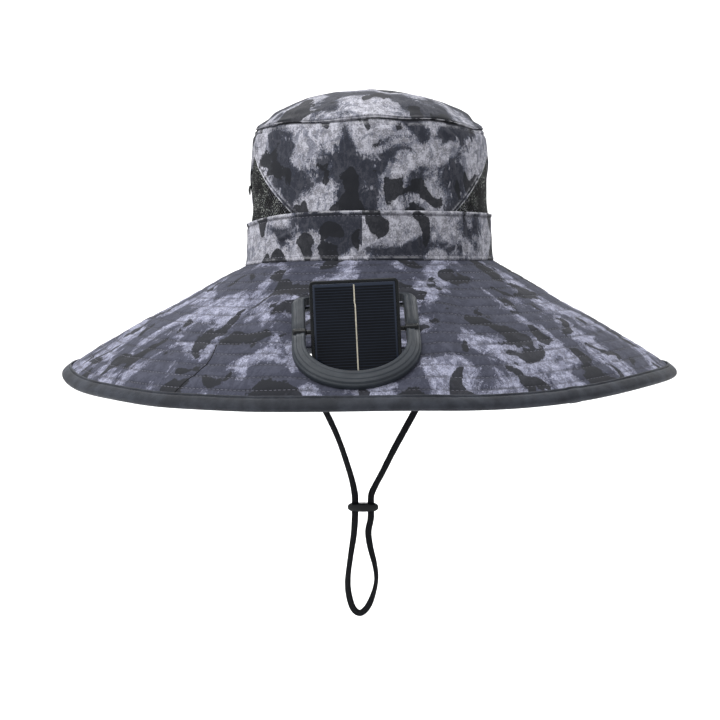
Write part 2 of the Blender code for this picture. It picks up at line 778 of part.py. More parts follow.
def make_module():
    """Housing with its axle and fan shroud, the solar panel, the guard and the rotor."""
    pivot = bpy.data.objects.new("tilt_pivot", None)
    HAT.objects.link(pivot)
    pivot.matrix_world = PIVOT @ Matrix.Rotation(MODULE_TILT, 4, "X")

    front = 0.5 * MODULE_THICKNESS
    back = -front
    shroud_end = back - SHROUD_DEPTH
    floor = front - PANEL_THICKNESS - FAN_FLOOR
    motor_end = floor - MOTOR_LENGTH
    shaft_end = motor_end - SHAFT_LENGTH

    plate = prism_mesh(module_outline(0.0), back, front)
    housing = add_part("fan_housing", plate, "housing_plastic", None, pivot)
    soften = housing.modifiers.new("Edges", "BEVEL")
    soften.width = MODULE_EDGE
    soften.segments = 2
    soften.limit_method = "ANGLE"
    soften.angle_limit = radians(60.0)

    bore_radius = SHROUD_RADIUS - SHROUD_WALL
    axle_half = 0.5 * MODULE_WIDTH + AXLE_REACH
    across = Matrix.Rotation(0.5 * pi, 4, "Y")
    panel_low = front - PANEL_THICKNESS + PANEL_PROUD
    recess = prism_mesh(module_outline(PANEL_RIM - GAP), panel_low - GAP, front + CUT_REACH)
    axle = cylinder_mesh(AXLE_RADIUS, -axle_half, axle_half, 16)
    tube = cylinder_mesh(SHROUD_RADIUS, shroud_end, 0.5 * back, 40)
    bore = cylinder_mesh(bore_radius, shroud_end - CUT_REACH, floor, 40)
    motor = cylinder_mesh(MOTOR_RADIUS, motor_end, floor + 0.5 * FAN_FLOOR, 18)
    shaft = cylinder_mesh(SHAFT_RADIUS, shaft_end, motor_end + 0.5 * CUT_REACH, 12)

    boolean(housing, add_cutter("axle_tool", axle, across, pivot), "UNION")
    boolean(housing, add_cutter("shroud_tool", tube, None, pivot), "UNION")
    boolean(housing, add_cutter("bore_tool", bore, None, pivot), "DIFFERENCE")
    intake_z = back - 0.5 * INTAKE_HEIGHT - INTAKE_DROP
    for number in range(3):
        size = (2.0 * (SHROUD_RADIUS + CUT_REACH), INTAKE_WIDTH, INTAKE_HEIGHT)
        slot = box_mesh(size, (0.0, 0.0, intake_z))
        turn = Matrix.Rotation(pi * (number + 0.5) / 3, 4, "Z")
        boolean(housing, add_cutter(f"intake_tool_{number}", slot, turn, pivot), "DIFFERENCE")
    boolean(housing, add_cutter("motor_tool", motor, None, pivot), "UNION")
    boolean(housing, add_cutter("shaft_tool", shaft, None, pivot), "UNION")
    boolean(housing, add_cutter("recess_tool", recess, None, pivot), "DIFFERENCE")

    panel = prism_mesh(module_outline(PANEL_RIM), panel_low, panel_low + PANEL_THICKNESS)
    cell = add_part("solar_panel", panel, "solar_cell", None, pivot)
    edge = cell.modifiers.new("Edge", "BEVEL")
    edge.width = PANEL_PROUD
    edge.segments = 2
    edge.limit_method = "ANGLE"
    edge.angle_limit = radians(60.0)

    make_guard(pivot, shroud_end - GAP)
    make_rotor(pivot, motor_end - GAP, shaft_end)


def ring_points(radius, start, end, steps):
    """Points of an arc round the fan's axis."""
    turns = [start + (end - start) * step / steps for step in range(steps + 1)]
    return [(radius * cos(turn), radius * sin(turn)) for turn in turns]


def flat_curve(name, outlines, thickness):
    """A mesh of flat closed outlines, the first one solid and the others holes in it."""
    curve = bpy.data.curves.new(name, "CURVE")
    curve.dimensions = "2D"
    curve.fill_mode = "BOTH"
    curve.extrude = 0.5 * thickness
    for outline in outlines:
        spline = curve.splines.new("POLY")
        spline.points.add(len(outline) - 1)
        spline.use_cyclic_u = True
        for point, (x, y) in zip(spline.points, outline):
            point.co = (x, y, 0.0, 1.0)
    guide = bpy.data.objects.new(name, curve)
    HAT.objects.link(guide)
    return mesh_of_curve(guide)


def mesh_of_curve(guide):
    """The welded mesh of a curve object, which is removed."""
    graph = bpy.context.evaluated_depsgraph_get()
    mesh = bpy.data.meshes.new_from_object(guide.evaluated_get(graph))
    bpy.data.objects.remove(guide)
    work = bmesh.new()
    work.from_mesh(mesh)
    bmesh.ops.remove_doubles(work, verts=work.verts, dist=0.00001)
    work.to_mesh(mesh)
    work.free()
    return mesh


def make_guard(pivot, top):
    """Flat guard with two rings of slots between its bars."""
    rim = SHROUD_RADIUS - SHROUD_WALL
    middle = 0.5 * (GUARD_HUB_RADIUS + rim)
    outlines = [ring_points(SHROUD_RADIUS, 0.0, 2.0 * pi * 39 / 40, 39)]
    bands = [
        (GUARD_HUB_RADIUS, middle - 0.5 * GUARD_BAR),
        (middle + 0.5 * GUARD_BAR, rim),
    ]
    for inside, outside in bands:
        for number in range(GUARD_SLOTS):
            centre = 2.0 * pi * number / GUARD_SLOTS
            half = pi / GUARD_SLOTS
            outer_half = half - 0.5 * GUARD_BAR / outside
            inner_half = half - 0.5 * GUARD_BAR / inside
            slot = ring_points(outside, centre - outer_half, centre + outer_half, 3)
            slot += ring_points(inside, centre + inner_half, centre - inner_half, 1)
            outlines.append(slot)
    mesh = flat_curve("guard_outline", outlines, GUARD_THICKNESS)
    place = Matrix.Translation((0.0, 0.0, top - 0.5 * GUARD_THICKNESS))
    add_part("fan_guard", mesh, "fan_plastic", place, pivot)


def make_rotor(pivot, top, shaft_end):
    """Hub with pitched blades, running on the motor's shaft."""
    low = top - HUB_LENGTH
    hub = cylinder_mesh(HUB_RADIUS, low, top, 24)
    rotor = add_part("fan_rotor", hub, "fan_plastic", None, pivot)
    length = ROTOR_RADIUS - BLADE_ROOT

    def build(work):
        for number in range(BLADE_COUNT):
            place = (
                Matrix.Rotation(2.0 * pi * number / BLADE_COUNT, 4, "Z")
                @ Matrix.Translation((BLADE_ROOT + 0.5 * length, 0.0, 0.5 * (low + top)))
                @ Matrix.Rotation(BLADE_PITCH, 4, "X")
            )
            size = Matrix.Diagonal((length, BLADE_CHORD, BLADE_THICKNESS, 1.0))
            bmesh.ops.create_cube(work, size=1.0, matrix=place @ size)

    blades = add_cutter("blade_tool", mesh_from(build), None, pivot)
    bore = cylinder_mesh(SHAFT_RADIUS + GAP, shaft_end - GAP, top + CUT_REACH, 12)
    boolean(rotor, blades, "UNION")
    boolean(rotor, add_cutter("shaft_bore_tool", bore, None, pivot), "DIFFERENCE")


def make_stud():
    """Press stud on the left vent."""
    angle = STUD_ANGLE
    face = crown_point(angle, STUD_HEIGHT)
    outward = Vector((sin(angle) / SEAM_HALF_WIDTH, -cos(angle) / SEAM_HALF_DEPTH, 0.0))
    outward.normalize()
    turn = outward.to_track_quat("Z", "Y").to_matrix().to_4x4()
    place = Matrix.Translation(face + outward * 2.0 * GAP) @ turn
    mesh = cylinder_mesh(STUD_RADIUS, 0.0, STUD_THICKNESS, 20)
    add_part("side_stud", mesh, "stud_metal", place)


def smooth_route(points, step):
    """Points a step apart on a smooth curve through a route's own points."""
    route = [Vector(point) for point in points]
    route = [route[0] * 2.0 - route[1], *route, route[-1] * 2.0 - route[-2]]
    fine = []
    for before, low, high, after in zip(route, route[1:], route[2:], route[3:]):
        for part in (number / CORD_FINE_STEPS for number in range(CORD_FINE_STEPS)):
            square, cube = part * part, part * part * part
            fine.append(
                0.5 * (
                    2.0 * low
                    + (high - before) * part
                    + (2.0 * before - 5.0 * low + 4.0 * high - after) * square
                    + (3.0 * low - before - 3.0 * high + after) * cube
                )
            )
    fine.append(route[-2])
    length = sum((high - low).length for low, high in zip(fine, fine[1:]))
    count = round(length / step)
    spaced, walked, target = [fine[0]], 0.0, length / count
    for low, high in zip(fine, fine[1:]):
        stretch = (high - low).length
        while walked + stretch >= target and len(spaced) < count:
            spaced.append(low.lerp(high, (target - walked) / stretch))
            target += length / count
        walked += stretch
    return [*spaced, fine[-1]]


def make_cord():
    """The chin cord, one whole loop, and the oval lock that both its strands pass through."""
    curve = bpy.data.curves.new("chin_cord", "CURVE")
    curve.dimensions = "3D"
    curve.bevel_depth = CORD_RADIUS
    curve.bevel_resolution = 2
    curve.use_fill_caps = True
    points = smooth_route(CORD_ROUTE, CORD_STEP)
    spline = curve.splines.new("POLY")
    spline.points.add(len(points) - 1)
    for point, place in zip(spline.points, points):
        point.co = (*place, 1.0)
    curve.materials.append(material_for("cord_braid"))
    HAT.objects.link(bpy.data.objects.new("chin_cord", curve))

    def oval(centre, half_width, half_depth, sides):
        turns = [2.0 * pi * step / sides for step in range(sides)]
        return [(centre + half_width * cos(turn), half_depth * sin(turn)) for turn in turns]

    hole = CORD_RADIUS + 2.0 * GAP
    outlines = [oval(0.0, LOCK_HALF_WIDTH, LOCK_HALF_DEPTH, 32)]
    for side in (-0.5, 0.5):
        outlines.append(oval(side * LOCK_HOLE_SPACING, hole, hole, 14))
    mesh = flat_curve("lock_outline", outlines, LOCK_HEIGHT)
    add_part("cord_lock", mesh, "lock_plastic", Matrix.Translation(LOCK_CENTRE))


def collection(name):
    """A new collection in the scene."""
    group = bpy.data.collections.new(name)
    bpy.context.scene.collection.children.link(group)
    return group


for old in list(bpy.data.objects):
    bpy.data.objects.remove(old)

HAT = collection("solar_fan_hat")
CUTTERS = collection("cutters")
make_crown()
make_brim()
make_ring()
make_module()
make_stud()
make_cord()
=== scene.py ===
"""Looks of the solar fan hat: printed cloth, seams, net vents, bound rim, fan unit and chin cord.

Metres, +Z up, the hat's front at -Y. Angles round the hat are counted from the front, positive
towards +X. The surfaces of the cloth are those of the CAD, drawn finer and with their folds.
"""

import json
from functools import partial
from math import atan2, ceil, cos, exp, hypot, pi, radians, sin, sqrt

import bmesh
import bpy
from bpy.props import FloatProperty, FloatVectorProperty, IntProperty, PointerProperty
from mathutils import Matrix, Vector, noise

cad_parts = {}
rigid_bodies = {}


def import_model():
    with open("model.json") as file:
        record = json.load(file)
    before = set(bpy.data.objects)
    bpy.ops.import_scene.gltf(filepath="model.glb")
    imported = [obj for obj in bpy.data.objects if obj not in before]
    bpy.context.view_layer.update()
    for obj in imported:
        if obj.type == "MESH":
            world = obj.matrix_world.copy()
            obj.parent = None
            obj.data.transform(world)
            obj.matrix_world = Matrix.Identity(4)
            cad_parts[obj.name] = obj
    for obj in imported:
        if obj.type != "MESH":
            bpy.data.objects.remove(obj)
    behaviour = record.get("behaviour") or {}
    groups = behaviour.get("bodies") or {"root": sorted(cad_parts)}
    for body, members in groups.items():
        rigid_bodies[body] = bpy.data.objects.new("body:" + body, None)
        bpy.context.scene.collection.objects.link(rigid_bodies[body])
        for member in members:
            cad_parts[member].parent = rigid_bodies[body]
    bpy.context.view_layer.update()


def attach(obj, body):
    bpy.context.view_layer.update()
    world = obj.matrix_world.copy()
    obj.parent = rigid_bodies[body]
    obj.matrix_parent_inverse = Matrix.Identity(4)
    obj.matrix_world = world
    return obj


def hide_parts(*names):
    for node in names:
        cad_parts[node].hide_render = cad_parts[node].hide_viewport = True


bl_info = {
    "name": "Solar fan hat",
    "version": (1, 0, 0),
    "blender": (4, 5, 0),
    "location": "3D View > Sidebar > Hat",
    "description": "Builds the cloth, trim, fan unit and chin cord of a solar fan hat",
    "category": "Object",
}

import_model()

GAP = 0.0003
CLOTH = 0.0016
BRIM_CLOTH = 0.0020

# Crown
SEAM_HALF_WIDTH = 0.0890
SEAM_HALF_DEPTH = 0.1020
BAND_HEIGHT = 0.0330
BAND_OVERLAP = 0.0070
TIP_SEAM_HEIGHT = 0.0930
DOME_RISE = 0.0275
SEAM_RIDGE = 0.0010
SEAM_EASE = 0.0005
CROWN_TURN = radians(6.0)
VENT_APEX_HEIGHT = 0.0750
VENT_SEAM_ANGLE = radians(75.0)
VENT_FRONT_ANGLE = radians(41.0)
SEAM_DIP = 0.0040
BAND_DIP = 0.0070
DIP_ANGLE = radians(-84.0)
DIP_SPREAD = radians(40.0)
BAND_JOINT = radians(25.5)
MEAN_RADIUS = 0.5 * (SEAM_HALF_WIDTH + SEAM_HALF_DEPTH)
WALL_RADIUS = 0.0950
PANEL_SLACK = radians(0.1)
PANEL_BOTTOM = BAND_HEIGHT - BAND_OVERLAP
UPPER_SEAM_RELIEF = 0.55

# Brim and its bound edge
BRIM_REACH = 0.1290
BRIM_SIDE_DROP = 0.0780
BRIM_FRONT_SAG = 0.0120
BRIM_EVEN_SAG = 0.0036
RIM_LIFT = 0.0034
RIM_LIFT_ANGLE = radians(4.0)
RIM_LIFT_SPREAD = radians(18.0)
RIM_LIFT_START = 0.75
TAPE_WIDTH = 0.0080
TAPE_JOINT = radians(39.0)
TAPE_LAP = 0.0220
TAPE_STEPS = 720

# Fan unit
SEAT_SHARE = 0.562
SEAT_SLOPE = radians(34.0)
SEAT_SINK = 0.0012
SEAT_MARGIN = 0.0030
SEAT_FADE = 0.0300
SEAT_END_SHARE = 0.915
UNIT_ROLL = radians(4.6)
RING_HALF_WIDTH = 0.0400
RING_TOP = 0.0365
RING_BOTTOM = 0.0560
RING_SIDE_WIDTH = 0.0085
RING_TOP_WIDTH = 0.0030
RING_BOTTOM_WIDTH = 0.0118
RING_CORNER = 0.0060
RING_HEIGHT = 0.0062
MODULE_TILT = radians(46.0)
MODULE_WIDTH = 0.0560
MODULE_LENGTH = 0.0630
MODULE_THICKNESS = 0.0080
MODULE_CORNER = 0.0030
MODULE_FOOT_GAP = 0.0015
PANEL_RIM = 0.0022
PANEL_THICKNESS = 0.0014
PANEL_PROUD = 0.0003

# Press stud and cord lock
STUD_THICKNESS = 0.0016
STUD_HEIGHT = 0.0545
STUD_ANGLE = radians(-84.0)
LOCK_HALF_WIDTH = 0.0113
LOCK_HALF_DEPTH = 0.0046
LOCK_HEIGHT = 0.0062
LOCK_CENTRE = Vector((-0.0047, 0.0, -0.1798))
LOCK_HOLE_SPACING = 0.0116
LOCK_HOLE_RADIUS = 0.0027
LOCK_SOFTNESS = 0.0011
LOCK_ROUND_START = 0.0078


def table(columns, *rows):
    """A table's rows as dictionaries by the names of its columns."""
    return [dict(zip(columns.split(), row)) for row in rows]


# Crown wall, from the brim seam up: share of the tip seam's height, share of the seam's oval.
CROWN_PROFILE = table(
    "height oval",
    (0.00, 1.000),
    (0.16, 0.990),
    (0.34, 0.983),
    (0.60, 0.980),
    (0.80, 0.975),
    (0.91, 0.966),
    (0.97, 0.944),
    (1.00, 0.920),
)

# Dome of the tip, from its edge to its middle: share of the edge's oval, share of the rise.
DOME_PROFILE = table(
    "place oval rise",
    (0.000, 1.00, 0.00),
    (0.143, 1.00, 0.05),
    (0.286, 0.97, 0.12),
    (0.429, 0.90, 0.29),
    (0.571, 0.79, 0.51),
    (0.714, 0.61, 0.73),
    (0.857, 0.34, 0.92),
    (1.000, 0.00, 1.00),
)

# Slope of the brim, from the seam to the rim: share of the reach, share of the drop.
BRIM_PROFILE = table(
    "reach drop",
    (0.000, 0.000),
    (0.130, 0.115),
    (0.270, 0.252),
    (0.410, 0.385),
    (0.550, 0.512),
    (0.690, 0.647),
    (0.830, 0.789),
    (0.940, 0.912),
    (1.000, 1.000),
)

# Soft dents in the crown: angle in degrees, share of the seam height, depth as a share of the
# cloth, spread in degrees and as a share of the height. A negative depth bulges outwards.
CROWN_DENTS = table(
    "angle height depth across along",
    (-44, 0.86, 1.4, 12, 0.10),
    (-18, 0.62, 0.8, 10, 0.18),
    (14, 0.80, 1.1, 9, 0.12),
    (38, 0.60, 1.0, 8, 0.20),
    (62, 0.90, -0.7, 12, 0.10),
    (100, 0.55, 1.2, 14, 0.15),
    (165, 0.70, 1.3, 16, 0.16),
    (-130, 0.75, 1.2, 14, 0.14),
    (-84, 0.45, 0.8, 10, 0.14),
)

# Folds pressed into the band, with the columns of the crown's dents.
BAND_FOLDS = table(
    "angle height depth across along",
    (-46, 0.15, 0.7, 6, 0.05),
    (-30, 0.20, 0.5, 7, 0.05),
    (50, 0.17, 0.6, 3, 0.20),
    (60, 0.17, -0.5, 3, 0.20),
    (70, 0.15, 0.6, 3, 0.20),
    (150, 0.17, 0.6, 8, 0.10),
)

# Waves of the tip seam: angle in degrees, rise as a share of the cloth, spread in degrees.
SEAM_WAVES = table(
    "angle rise across",
    (-68, -0.9, 14),
    (-22, -0.6, 12),
    (6, 1.0, 10),
    (34, 0.8, 12),
    (66, -1.4, 12),
    (140, 0.9, 20),
    (-140, -0.8, 22),
)

# Slow waves of the rim: angle in degrees, rise as a share of the brim's drop, spread in degrees.
RIM_WAVES = table(
    "angle rise across",
    (-58, -0.038, 16),
    (-36, -0.018, 10),
    (60, 0.020, 16),
    (112, -0.020, 20),
    (150, 0.024, 20),
    (-112, -0.014, 22),
    (-152, 0.020, 20),
)

# Section of the ring, round its wall: share across from inside to outside, share of the height.
RING_SECTION = table(
    "across height",
    (0.000, 0.00),
    (0.000, 0.40),
    (0.000, 0.82),
    (0.010, 0.90),
    (0.050, 0.95),
    (0.100, 0.96),
    (0.250, 0.96),
    (0.270, 0.94),
    (0.290, 0.90),
    (0.320, 0.89),
    (0.460, 0.88),
    (0.600, 0.87),
    (0.630, 0.85),
    (0.650, 0.80),
    (0.680, 0.78),
    (0.840, 0.75),
    (0.865, 0.72),
    (0.880, 0.58),
    (0.900, 0.53),
    (0.950, 0.51),
    (0.985, 0.47),
    (1.000, 0.38),
    (1.000, 0.12),
    (0.990, 0.00),
)

# Chin cord, from the band's left inside down through the lock, round the loop and up again.
CORD_ROUTE = [
    (-0.0840, 0.000, 0.0150),
    (-0.0836, 0.000, 0.0050),
    (-0.0800, 0.000, -0.0090),
    (-0.0700, 0.000, -0.0330),
    (-0.0570, 0.000, -0.0600),
    (-0.0440, 0.000, -0.0860),
    (-0.0322, 0.000, -0.1093),
    (-0.0228, 0.000, -0.1296),
    (-0.0145, 0.000, -0.1539),
    (-0.0109, 0.000, -0.1690),
    (-0.0105, 0.000, -0.1798),
    (-0.0107, 0.000, -0.1900),
    (-0.0116, 0.001, -0.2010),
    (-0.0138, 0.001, -0.2158),
    (-0.0158, 0.001, -0.2324),
    (-0.0152, 0.001, -0.2440),
    (-0.0120, 0.001, -0.2545),
    (-0.0068, 0.001, -0.2580),
    (-0.0012, 0.000, -0.2530),
    (0.0030, 0.000, -0.2430),
    (0.0050, 0.000, -0.2324),
    (0.0038, 0.000, -0.2218),
    (0.0006, 0.000, -0.2090),
    (-0.0008, 0.000, -0.1980),
    (0.0009, 0.000, -0.1885),
    (0.0011, 0.000, -0.1798),
    (0.0013, 0.000, -0.1710),
    (0.0042, 0.000, -0.1640),
    (0.0095, 0.000, -0.1540),
    (0.0185, 0.000, -0.1361),
    (0.0334, 0.000, -0.1086),
    (0.0450, 0.000, -0.0860),
    (0.0575, 0.000, -0.0600),
    (0.0703, 0.000, -0.0330),
    (0.0800, 0.000, -0.0090),
    (0.0836, 0.000, 0.0050),
    (0.0840, 0.000, 0.0150),
]

# Sharp little folds in the cloth: piece, the two ends as an angle in degrees and a height or a
# share of the brim, depth and half width in millimetres.
CREASES = table(
    "piece start end depth width",
    ("band", (-42, 0.0165), (-31, 0.0215), 1.1, 2.0),
    ("band", (-45, 0.0125), (-33, 0.0165), -0.8, 1.8),
    ("band", (-46, 0.0060), (-40, 0.0120), 0.7, 1.4),
    ("band", (-34, 0.0050), (-29, 0.0120), 0.6, 1.4),
    ("band", (-70, 0.0280), (-66, 0.0150), 0.6, 1.6),
    ("band", (-62, 0.0280), (-57, 0.0170), 0.5, 1.4),
    ("band", (48, 0.0310), (49, 0.0030), 0.9, 1.6),
    ("band", (54, 0.0310), (55, 0.0060), -0.7, 1.5),
    ("band", (60, 0.0300), (60, 0.0100), 0.8, 1.7),
    ("band", (67, 0.0300), (68, 0.0040), -0.6, 1.7),
    ("band", (122, 0.0290), (127, 0.0080), 0.8, 1.8),
    ("band", (-118, 0.0300), (-122, 0.0120), 0.7, 1.7),
    ("band", (171, 0.0240), (180, 0.0140), 0.6, 1.6),
    ("front", (40, 0.0905), (50, 0.0800), 0.9, 2.0),
    ("front", (31, 0.0890), (37, 0.0790), -0.6, 2.2),
    ("front", (45, 0.0720), (47, 0.0560), 0.7, 2.0),
    ("front", (40, 0.0640), (43, 0.0480), -0.6, 2.0),
    ("front", (-64, 0.0890), (-61, 0.0780), 0.7, 1.8),
    ("front", (-12, 0.0900), (-8, 0.0810), 0.5, 2.0),
    ("front", (16, 0.0880), (24, 0.0740), 0.6, 2.4),
    ("front", (-36, 0.0420), (-24, 0.0470), 0.4, 2.4),
    ("back", (150, 0.0880), (158, 0.0700), 0.8, 2.4),
    ("back", (-160, 0.0600), (-148, 0.0520), 0.7, 2.4),
    ("back", (118, 0.0700), (126, 0.0560), -0.6, 2.2),
    ("back", (-120, 0.0880), (-126, 0.0760), 0.8, 2.2),
)


# Blender's sidebar settings


class HatPrintSettings(bpy.types.PropertyGroup):
    """Colours and scale of the printed cloth."""

    crown_light: FloatVectorProperty(
        name="Crown light", description="Light ground of the crown's print",
        default=(0.46, 0.46, 0.52), subtype="COLOR",
    )
    crown_mid: FloatVectorProperty(
        name="Crown mid", description="Brushed clouds of the crown's print",
        default=(0.082, 0.090, 0.124), subtype="COLOR",
    )
    crown_deep: FloatVectorProperty(
        name="Crown deep", description="Deep heart of the crown's clouds",
        default=(0.024, 0.026, 0.036), subtype="COLOR",
    )
    brim_light: FloatVectorProperty(
        name="Brim light", description="Light ground of the brim's print",
        default=(0.35, 0.36, 0.47), subtype="COLOR",
    )
    brim_mid: FloatVectorProperty(
        name="Brim mid", description="Clouds of the brim's print",
        default=(0.082, 0.086, 0.128), subtype="COLOR",
    )
    brim_deep: FloatVectorProperty(
        name="Brim deep", description="Deep heart of the brim's clouds",
        default=(0.042, 0.045, 0.066), subtype="COLOR",
    )
    spot: FloatVectorProperty(
        name="Spots", description="Crisp dark spots of the print",
        default=(0.016, 0.017, 0.021), subtype="COLOR",
    )
    cloud_size: FloatProperty(
        name="Cloud size", description="Size of the print's clouds",
        default=0.041, min=0.01, max=0.2, unit="LENGTH",
    )
    spot_size: FloatProperty(
        name="Spot size", description="Size of the print's dark spots",
        default=0.025, min=0.005, max=0.1, unit="LENGTH",
    )


class HatSewingSettings(bpy.types.PropertyGroup):
    """Seams, stitches, net and the bound edge."""

    thread: FloatVectorProperty(
        name="Thread", description="Colour of the sewing thread",
        default=(0.13, 0.13, 0.16), subtype="COLOR",
    )
    tape: FloatVectorProperty(
        name="Tape", description="Colour of the tape that binds the rim",
        default=(0.027, 0.030, 0.038), subtype="COLOR",
    )
    net: FloatVectorProperty(
        name="Net", description="Colour of the vents' net",
        default=(0.006, 0.0065, 0.007), subtype="COLOR",
    )
    stitch_length: FloatProperty(
        name="Stitch length", description="Length of one stitch and its gap",
        default=0.0030, min=0.001, max=0.01, unit="LENGTH",
    )
    brim_rows: IntProperty(
        name="Brim rows", description="Rows of stitches round the brim",
        default=14, min=0, max=24,
    )
    net_pitch: FloatProperty(
        name="Net pitch", description="Distance from one hole of the net to the next",
        default=0.0021, min=0.001, max=0.006, unit="LENGTH",
    )


class HatUnitSettings(bpy.types.PropertyGroup):
    """Plastic and solar cell of the fan unit."""

    ring: FloatVectorProperty(
        name="Ring", description="Colour of the ring's plastic",
        default=(0.021, 0.026, 0.033), subtype="COLOR",
    )
    housing: FloatVectorProperty(
        name="Housing", description="Colour of the module's plastic",
        default=(0.006, 0.007, 0.008), subtype="COLOR",
    )
    cell: FloatVectorProperty(
        name="Cell", description="Colour of the solar cell",
        default=(0.0018, 0.0026, 0.0045), subtype="COLOR",
    )
    cell_line: FloatVectorProperty(
        name="Cell lines", description="Colour of the fine lines across the cell",
        default=(0.014, 0.018, 0.028), subtype="COLOR",
    )
    cell_pitch: FloatProperty(
        name="Line pitch", description="Distance between the cell's lines",
        default=0.0018, min=0.0005, max=0.01, unit="LENGTH",
    )
    busbar: FloatVectorProperty(
        name="Busbar", description="Colour of the cell's silver strip",
        default=(0.55, 0.51, 0.41), subtype="COLOR",
    )


class HatCordSettings(bpy.types.PropertyGroup):
    """The flat braid and its lock."""

    braid: FloatVectorProperty(
        name="Braid", description="Colour of the braid",
        default=(0.006, 0.0063, 0.0078), subtype="COLOR",
    )
    width: FloatProperty(
        name="Braid width", description="Width of the flat braid",
        default=0.0050, min=0.002, max=0.01, unit="LENGTH",
    )
    thickness: FloatProperty(
        name="Braid thickness", description="Thickness of the flat braid",
        default=0.0021, min=0.001, max=0.005, unit="LENGTH",
    )


class HatStudioSettings(bpy.types.PropertyGroup):
    """The pale studio that the hat hangs in."""

    ground: FloatProperty(
        name="Floor height", description="Height of the floor under the hat",
        default=-0.460, min=-1.0, max=0.0, unit="LENGTH",
    )
    sky: FloatProperty(
        name="Surround", description="Brightness of the white surround",
        default=0.55, min=0.0, max=5.0,
    )


# Reliefs and painted light beside an edge of the cloth: rise in metres, or, in the rows that paint
# the cloth, the share of painted highlight (plus) and painted shade (minus), and place and width as
# distances in from that edge.
EDGE_ROWS = {
    "turned_edge": table(
        "rise place width",
        (0.0006, 0.0009, 0.0011),
        (-0.0005, 0.0026, 0.0007),
        (0.0004, 0.0042, 0.0012),
        (-0.0004, 0.0064, 0.0007),
    ),
    "under_tip_seam": table(
        "rise place width", (0.0009, 0.0014, 0.0011), (-0.0004, 0.0036, 0.0008),
    ),
    "tip_edge": table("rise place width", (0.0005, 0.0014, 0.0012), (-0.0006, 0.0040, 0.0010)),
    "band_top": table("rise place width", (0.0005, 0.0009, 0.0011), (-0.0004, 0.0034, 0.0009)),
    "band_foot": table("rise place width", (0.0005, 0.0012, 0.0013)),
    "turned_edge_painted_light": table(
        "rise place width", (0.85, 0.0008, 0.0008), (-0.80, 0.0027, 0.0008), (0.40, 0.0048, 0.0008),
    ),
    "under_tip_seam_painted_light": table("rise place width", (0.40, 0.0024, 0.0008), (-0.90, 0.0, 0.0012)),
    "band_top_painted_light": table("rise place width", (0.65, 0.0004, 0.0007), (-0.70, 0.0028, 0.0008)),
    "band_foot_painted_light": table("rise place width", (0.30, 0.0020, 0.0007), (-0.90, 0.0, 0.0010)),
}


# Surfaces of the cloth


def table_value(rows, along, value, place):
    """Smooth reading of one column of a table against another that only rises."""
    place = clamp(place, rows[0][along], rows[-1][along])
    last = len(rows) - 2
    index = next(i for i in range(last + 1) if place <= rows[i + 1][along] or i == last)
    low, high = rows[index], rows[index + 1]
    width = high[along] - low[along]

    def slope(number):
        before = rows[max(number - 1, 0)]
        after = rows[min(number + 1, len(rows) - 1)]
        return (after[value] - before[value]) / (after[along] - before[along])

    part = (place - low[along]) / width
    square, cube = part * part, part * part * part
    return (
        low[value] * (2 * cube - 3 * square + 1)
        + slope(index) * width * (cube - 2 * square + part)
        + high[value] * (3 * square - 2 * cube)
        + slope(index + 1) * width * (cube - square)
    )


def clamp(value, low=0.0, high=1.0):
    """A value kept between two others, or else between 0 and 1."""
    return min(max(value, low), high)


def eased(share):
    """A share from 0 to 1 with a soft start and end."""
    return share * share * (3.0 - 2.0 * share)


def turned(angle):
    """An angle brought between minus and plus half a turn."""
    return (angle + pi) % (2 * pi) - pi


def hump(distance, width):
    """A soft rounded rise, 1 at its middle and gone two widths away."""
    off = distance / width
    return exp(-off * off) if abs(off) < 4.0 else 0.0


def beside_edge(name, distance):
    """Relief, or painted highlight and shade, at a distance in from an edge, by its rows."""
    return sum(row["rise"] * hump(distance - row["place"], row["width"]) for row in EDGE_ROWS[name])


def bump(angle, row):
    """Height of one wave or dent at an angle, 1 at its middle."""
    return hump(turned(angle - radians(row["angle"])), radians(row["across"]))


def dent_depth(rows, angle, height):
    """How far the cloth is pressed in at an angle and a height."""
    depth = 0.0
    for row in rows:
        share = hump(height / TIP_SEAM_HEIGHT - row["height"], row["along"])
        if share > 0.0:
            depth += row["depth"] * CLOTH * bump(angle, row) * share
    return depth


def crease_rise(piece, angle, height):
    """How far a piece's sharp folds lift its face at an angle and a height."""
    rise = 0.0
    for row in CREASES:
        if row["piece"] != piece:
            continue
        (first, low), (last, high) = row["start"], row["end"]
        start = Vector((turned(radians(first) - angle) * MEAN_RADIUS, low - height))
        along = Vector((turned(radians(last - first)) * MEAN_RADIUS, high - low))
        share = clamp(-start.dot(along) / along.length_squared)
        nearest = start + along * share
        width = 0.001 * row["width"]
        if nearest.length > 4.0 * width:
            continue
        side = along.x * nearest.y - along.y * nearest.x
        signed = nearest.length / width * (1.0 if side > 0.0 else -1.0)
        taper = sin(pi * clamp(0.08 + 0.84 * share))
        fold = exp(-signed * signed) * 0.7 + signed * exp(0.5 - 0.5 * signed * signed) * 0.5
        rise += 0.0015 * row["depth"] * taper * fold
    return rise


def ripple(place, size, depth):
    """Small unevenness of cloth, of a size and a depth."""
    return depth * noise.noise(place / size)


def round_noise(angle, rate, level):
    """Noise that runs round the hat without a joint, at a rate and on a level of its own."""
    return noise.noise(Vector((rate * cos(angle), rate * sin(angle), level)))


def cloth_ripple(place):
    """The unevenness that the hat's cloth has all over."""
    return ripple(place, 0.022, 0.00060) + ripple(place, 0.0075, 0.00032)


def seam_dip(angle):
    """How far the seams sag at an angle, 1 where they sag most, at the left side."""
    return hump(turned(angle - DIP_ANGLE), DIP_SPREAD)


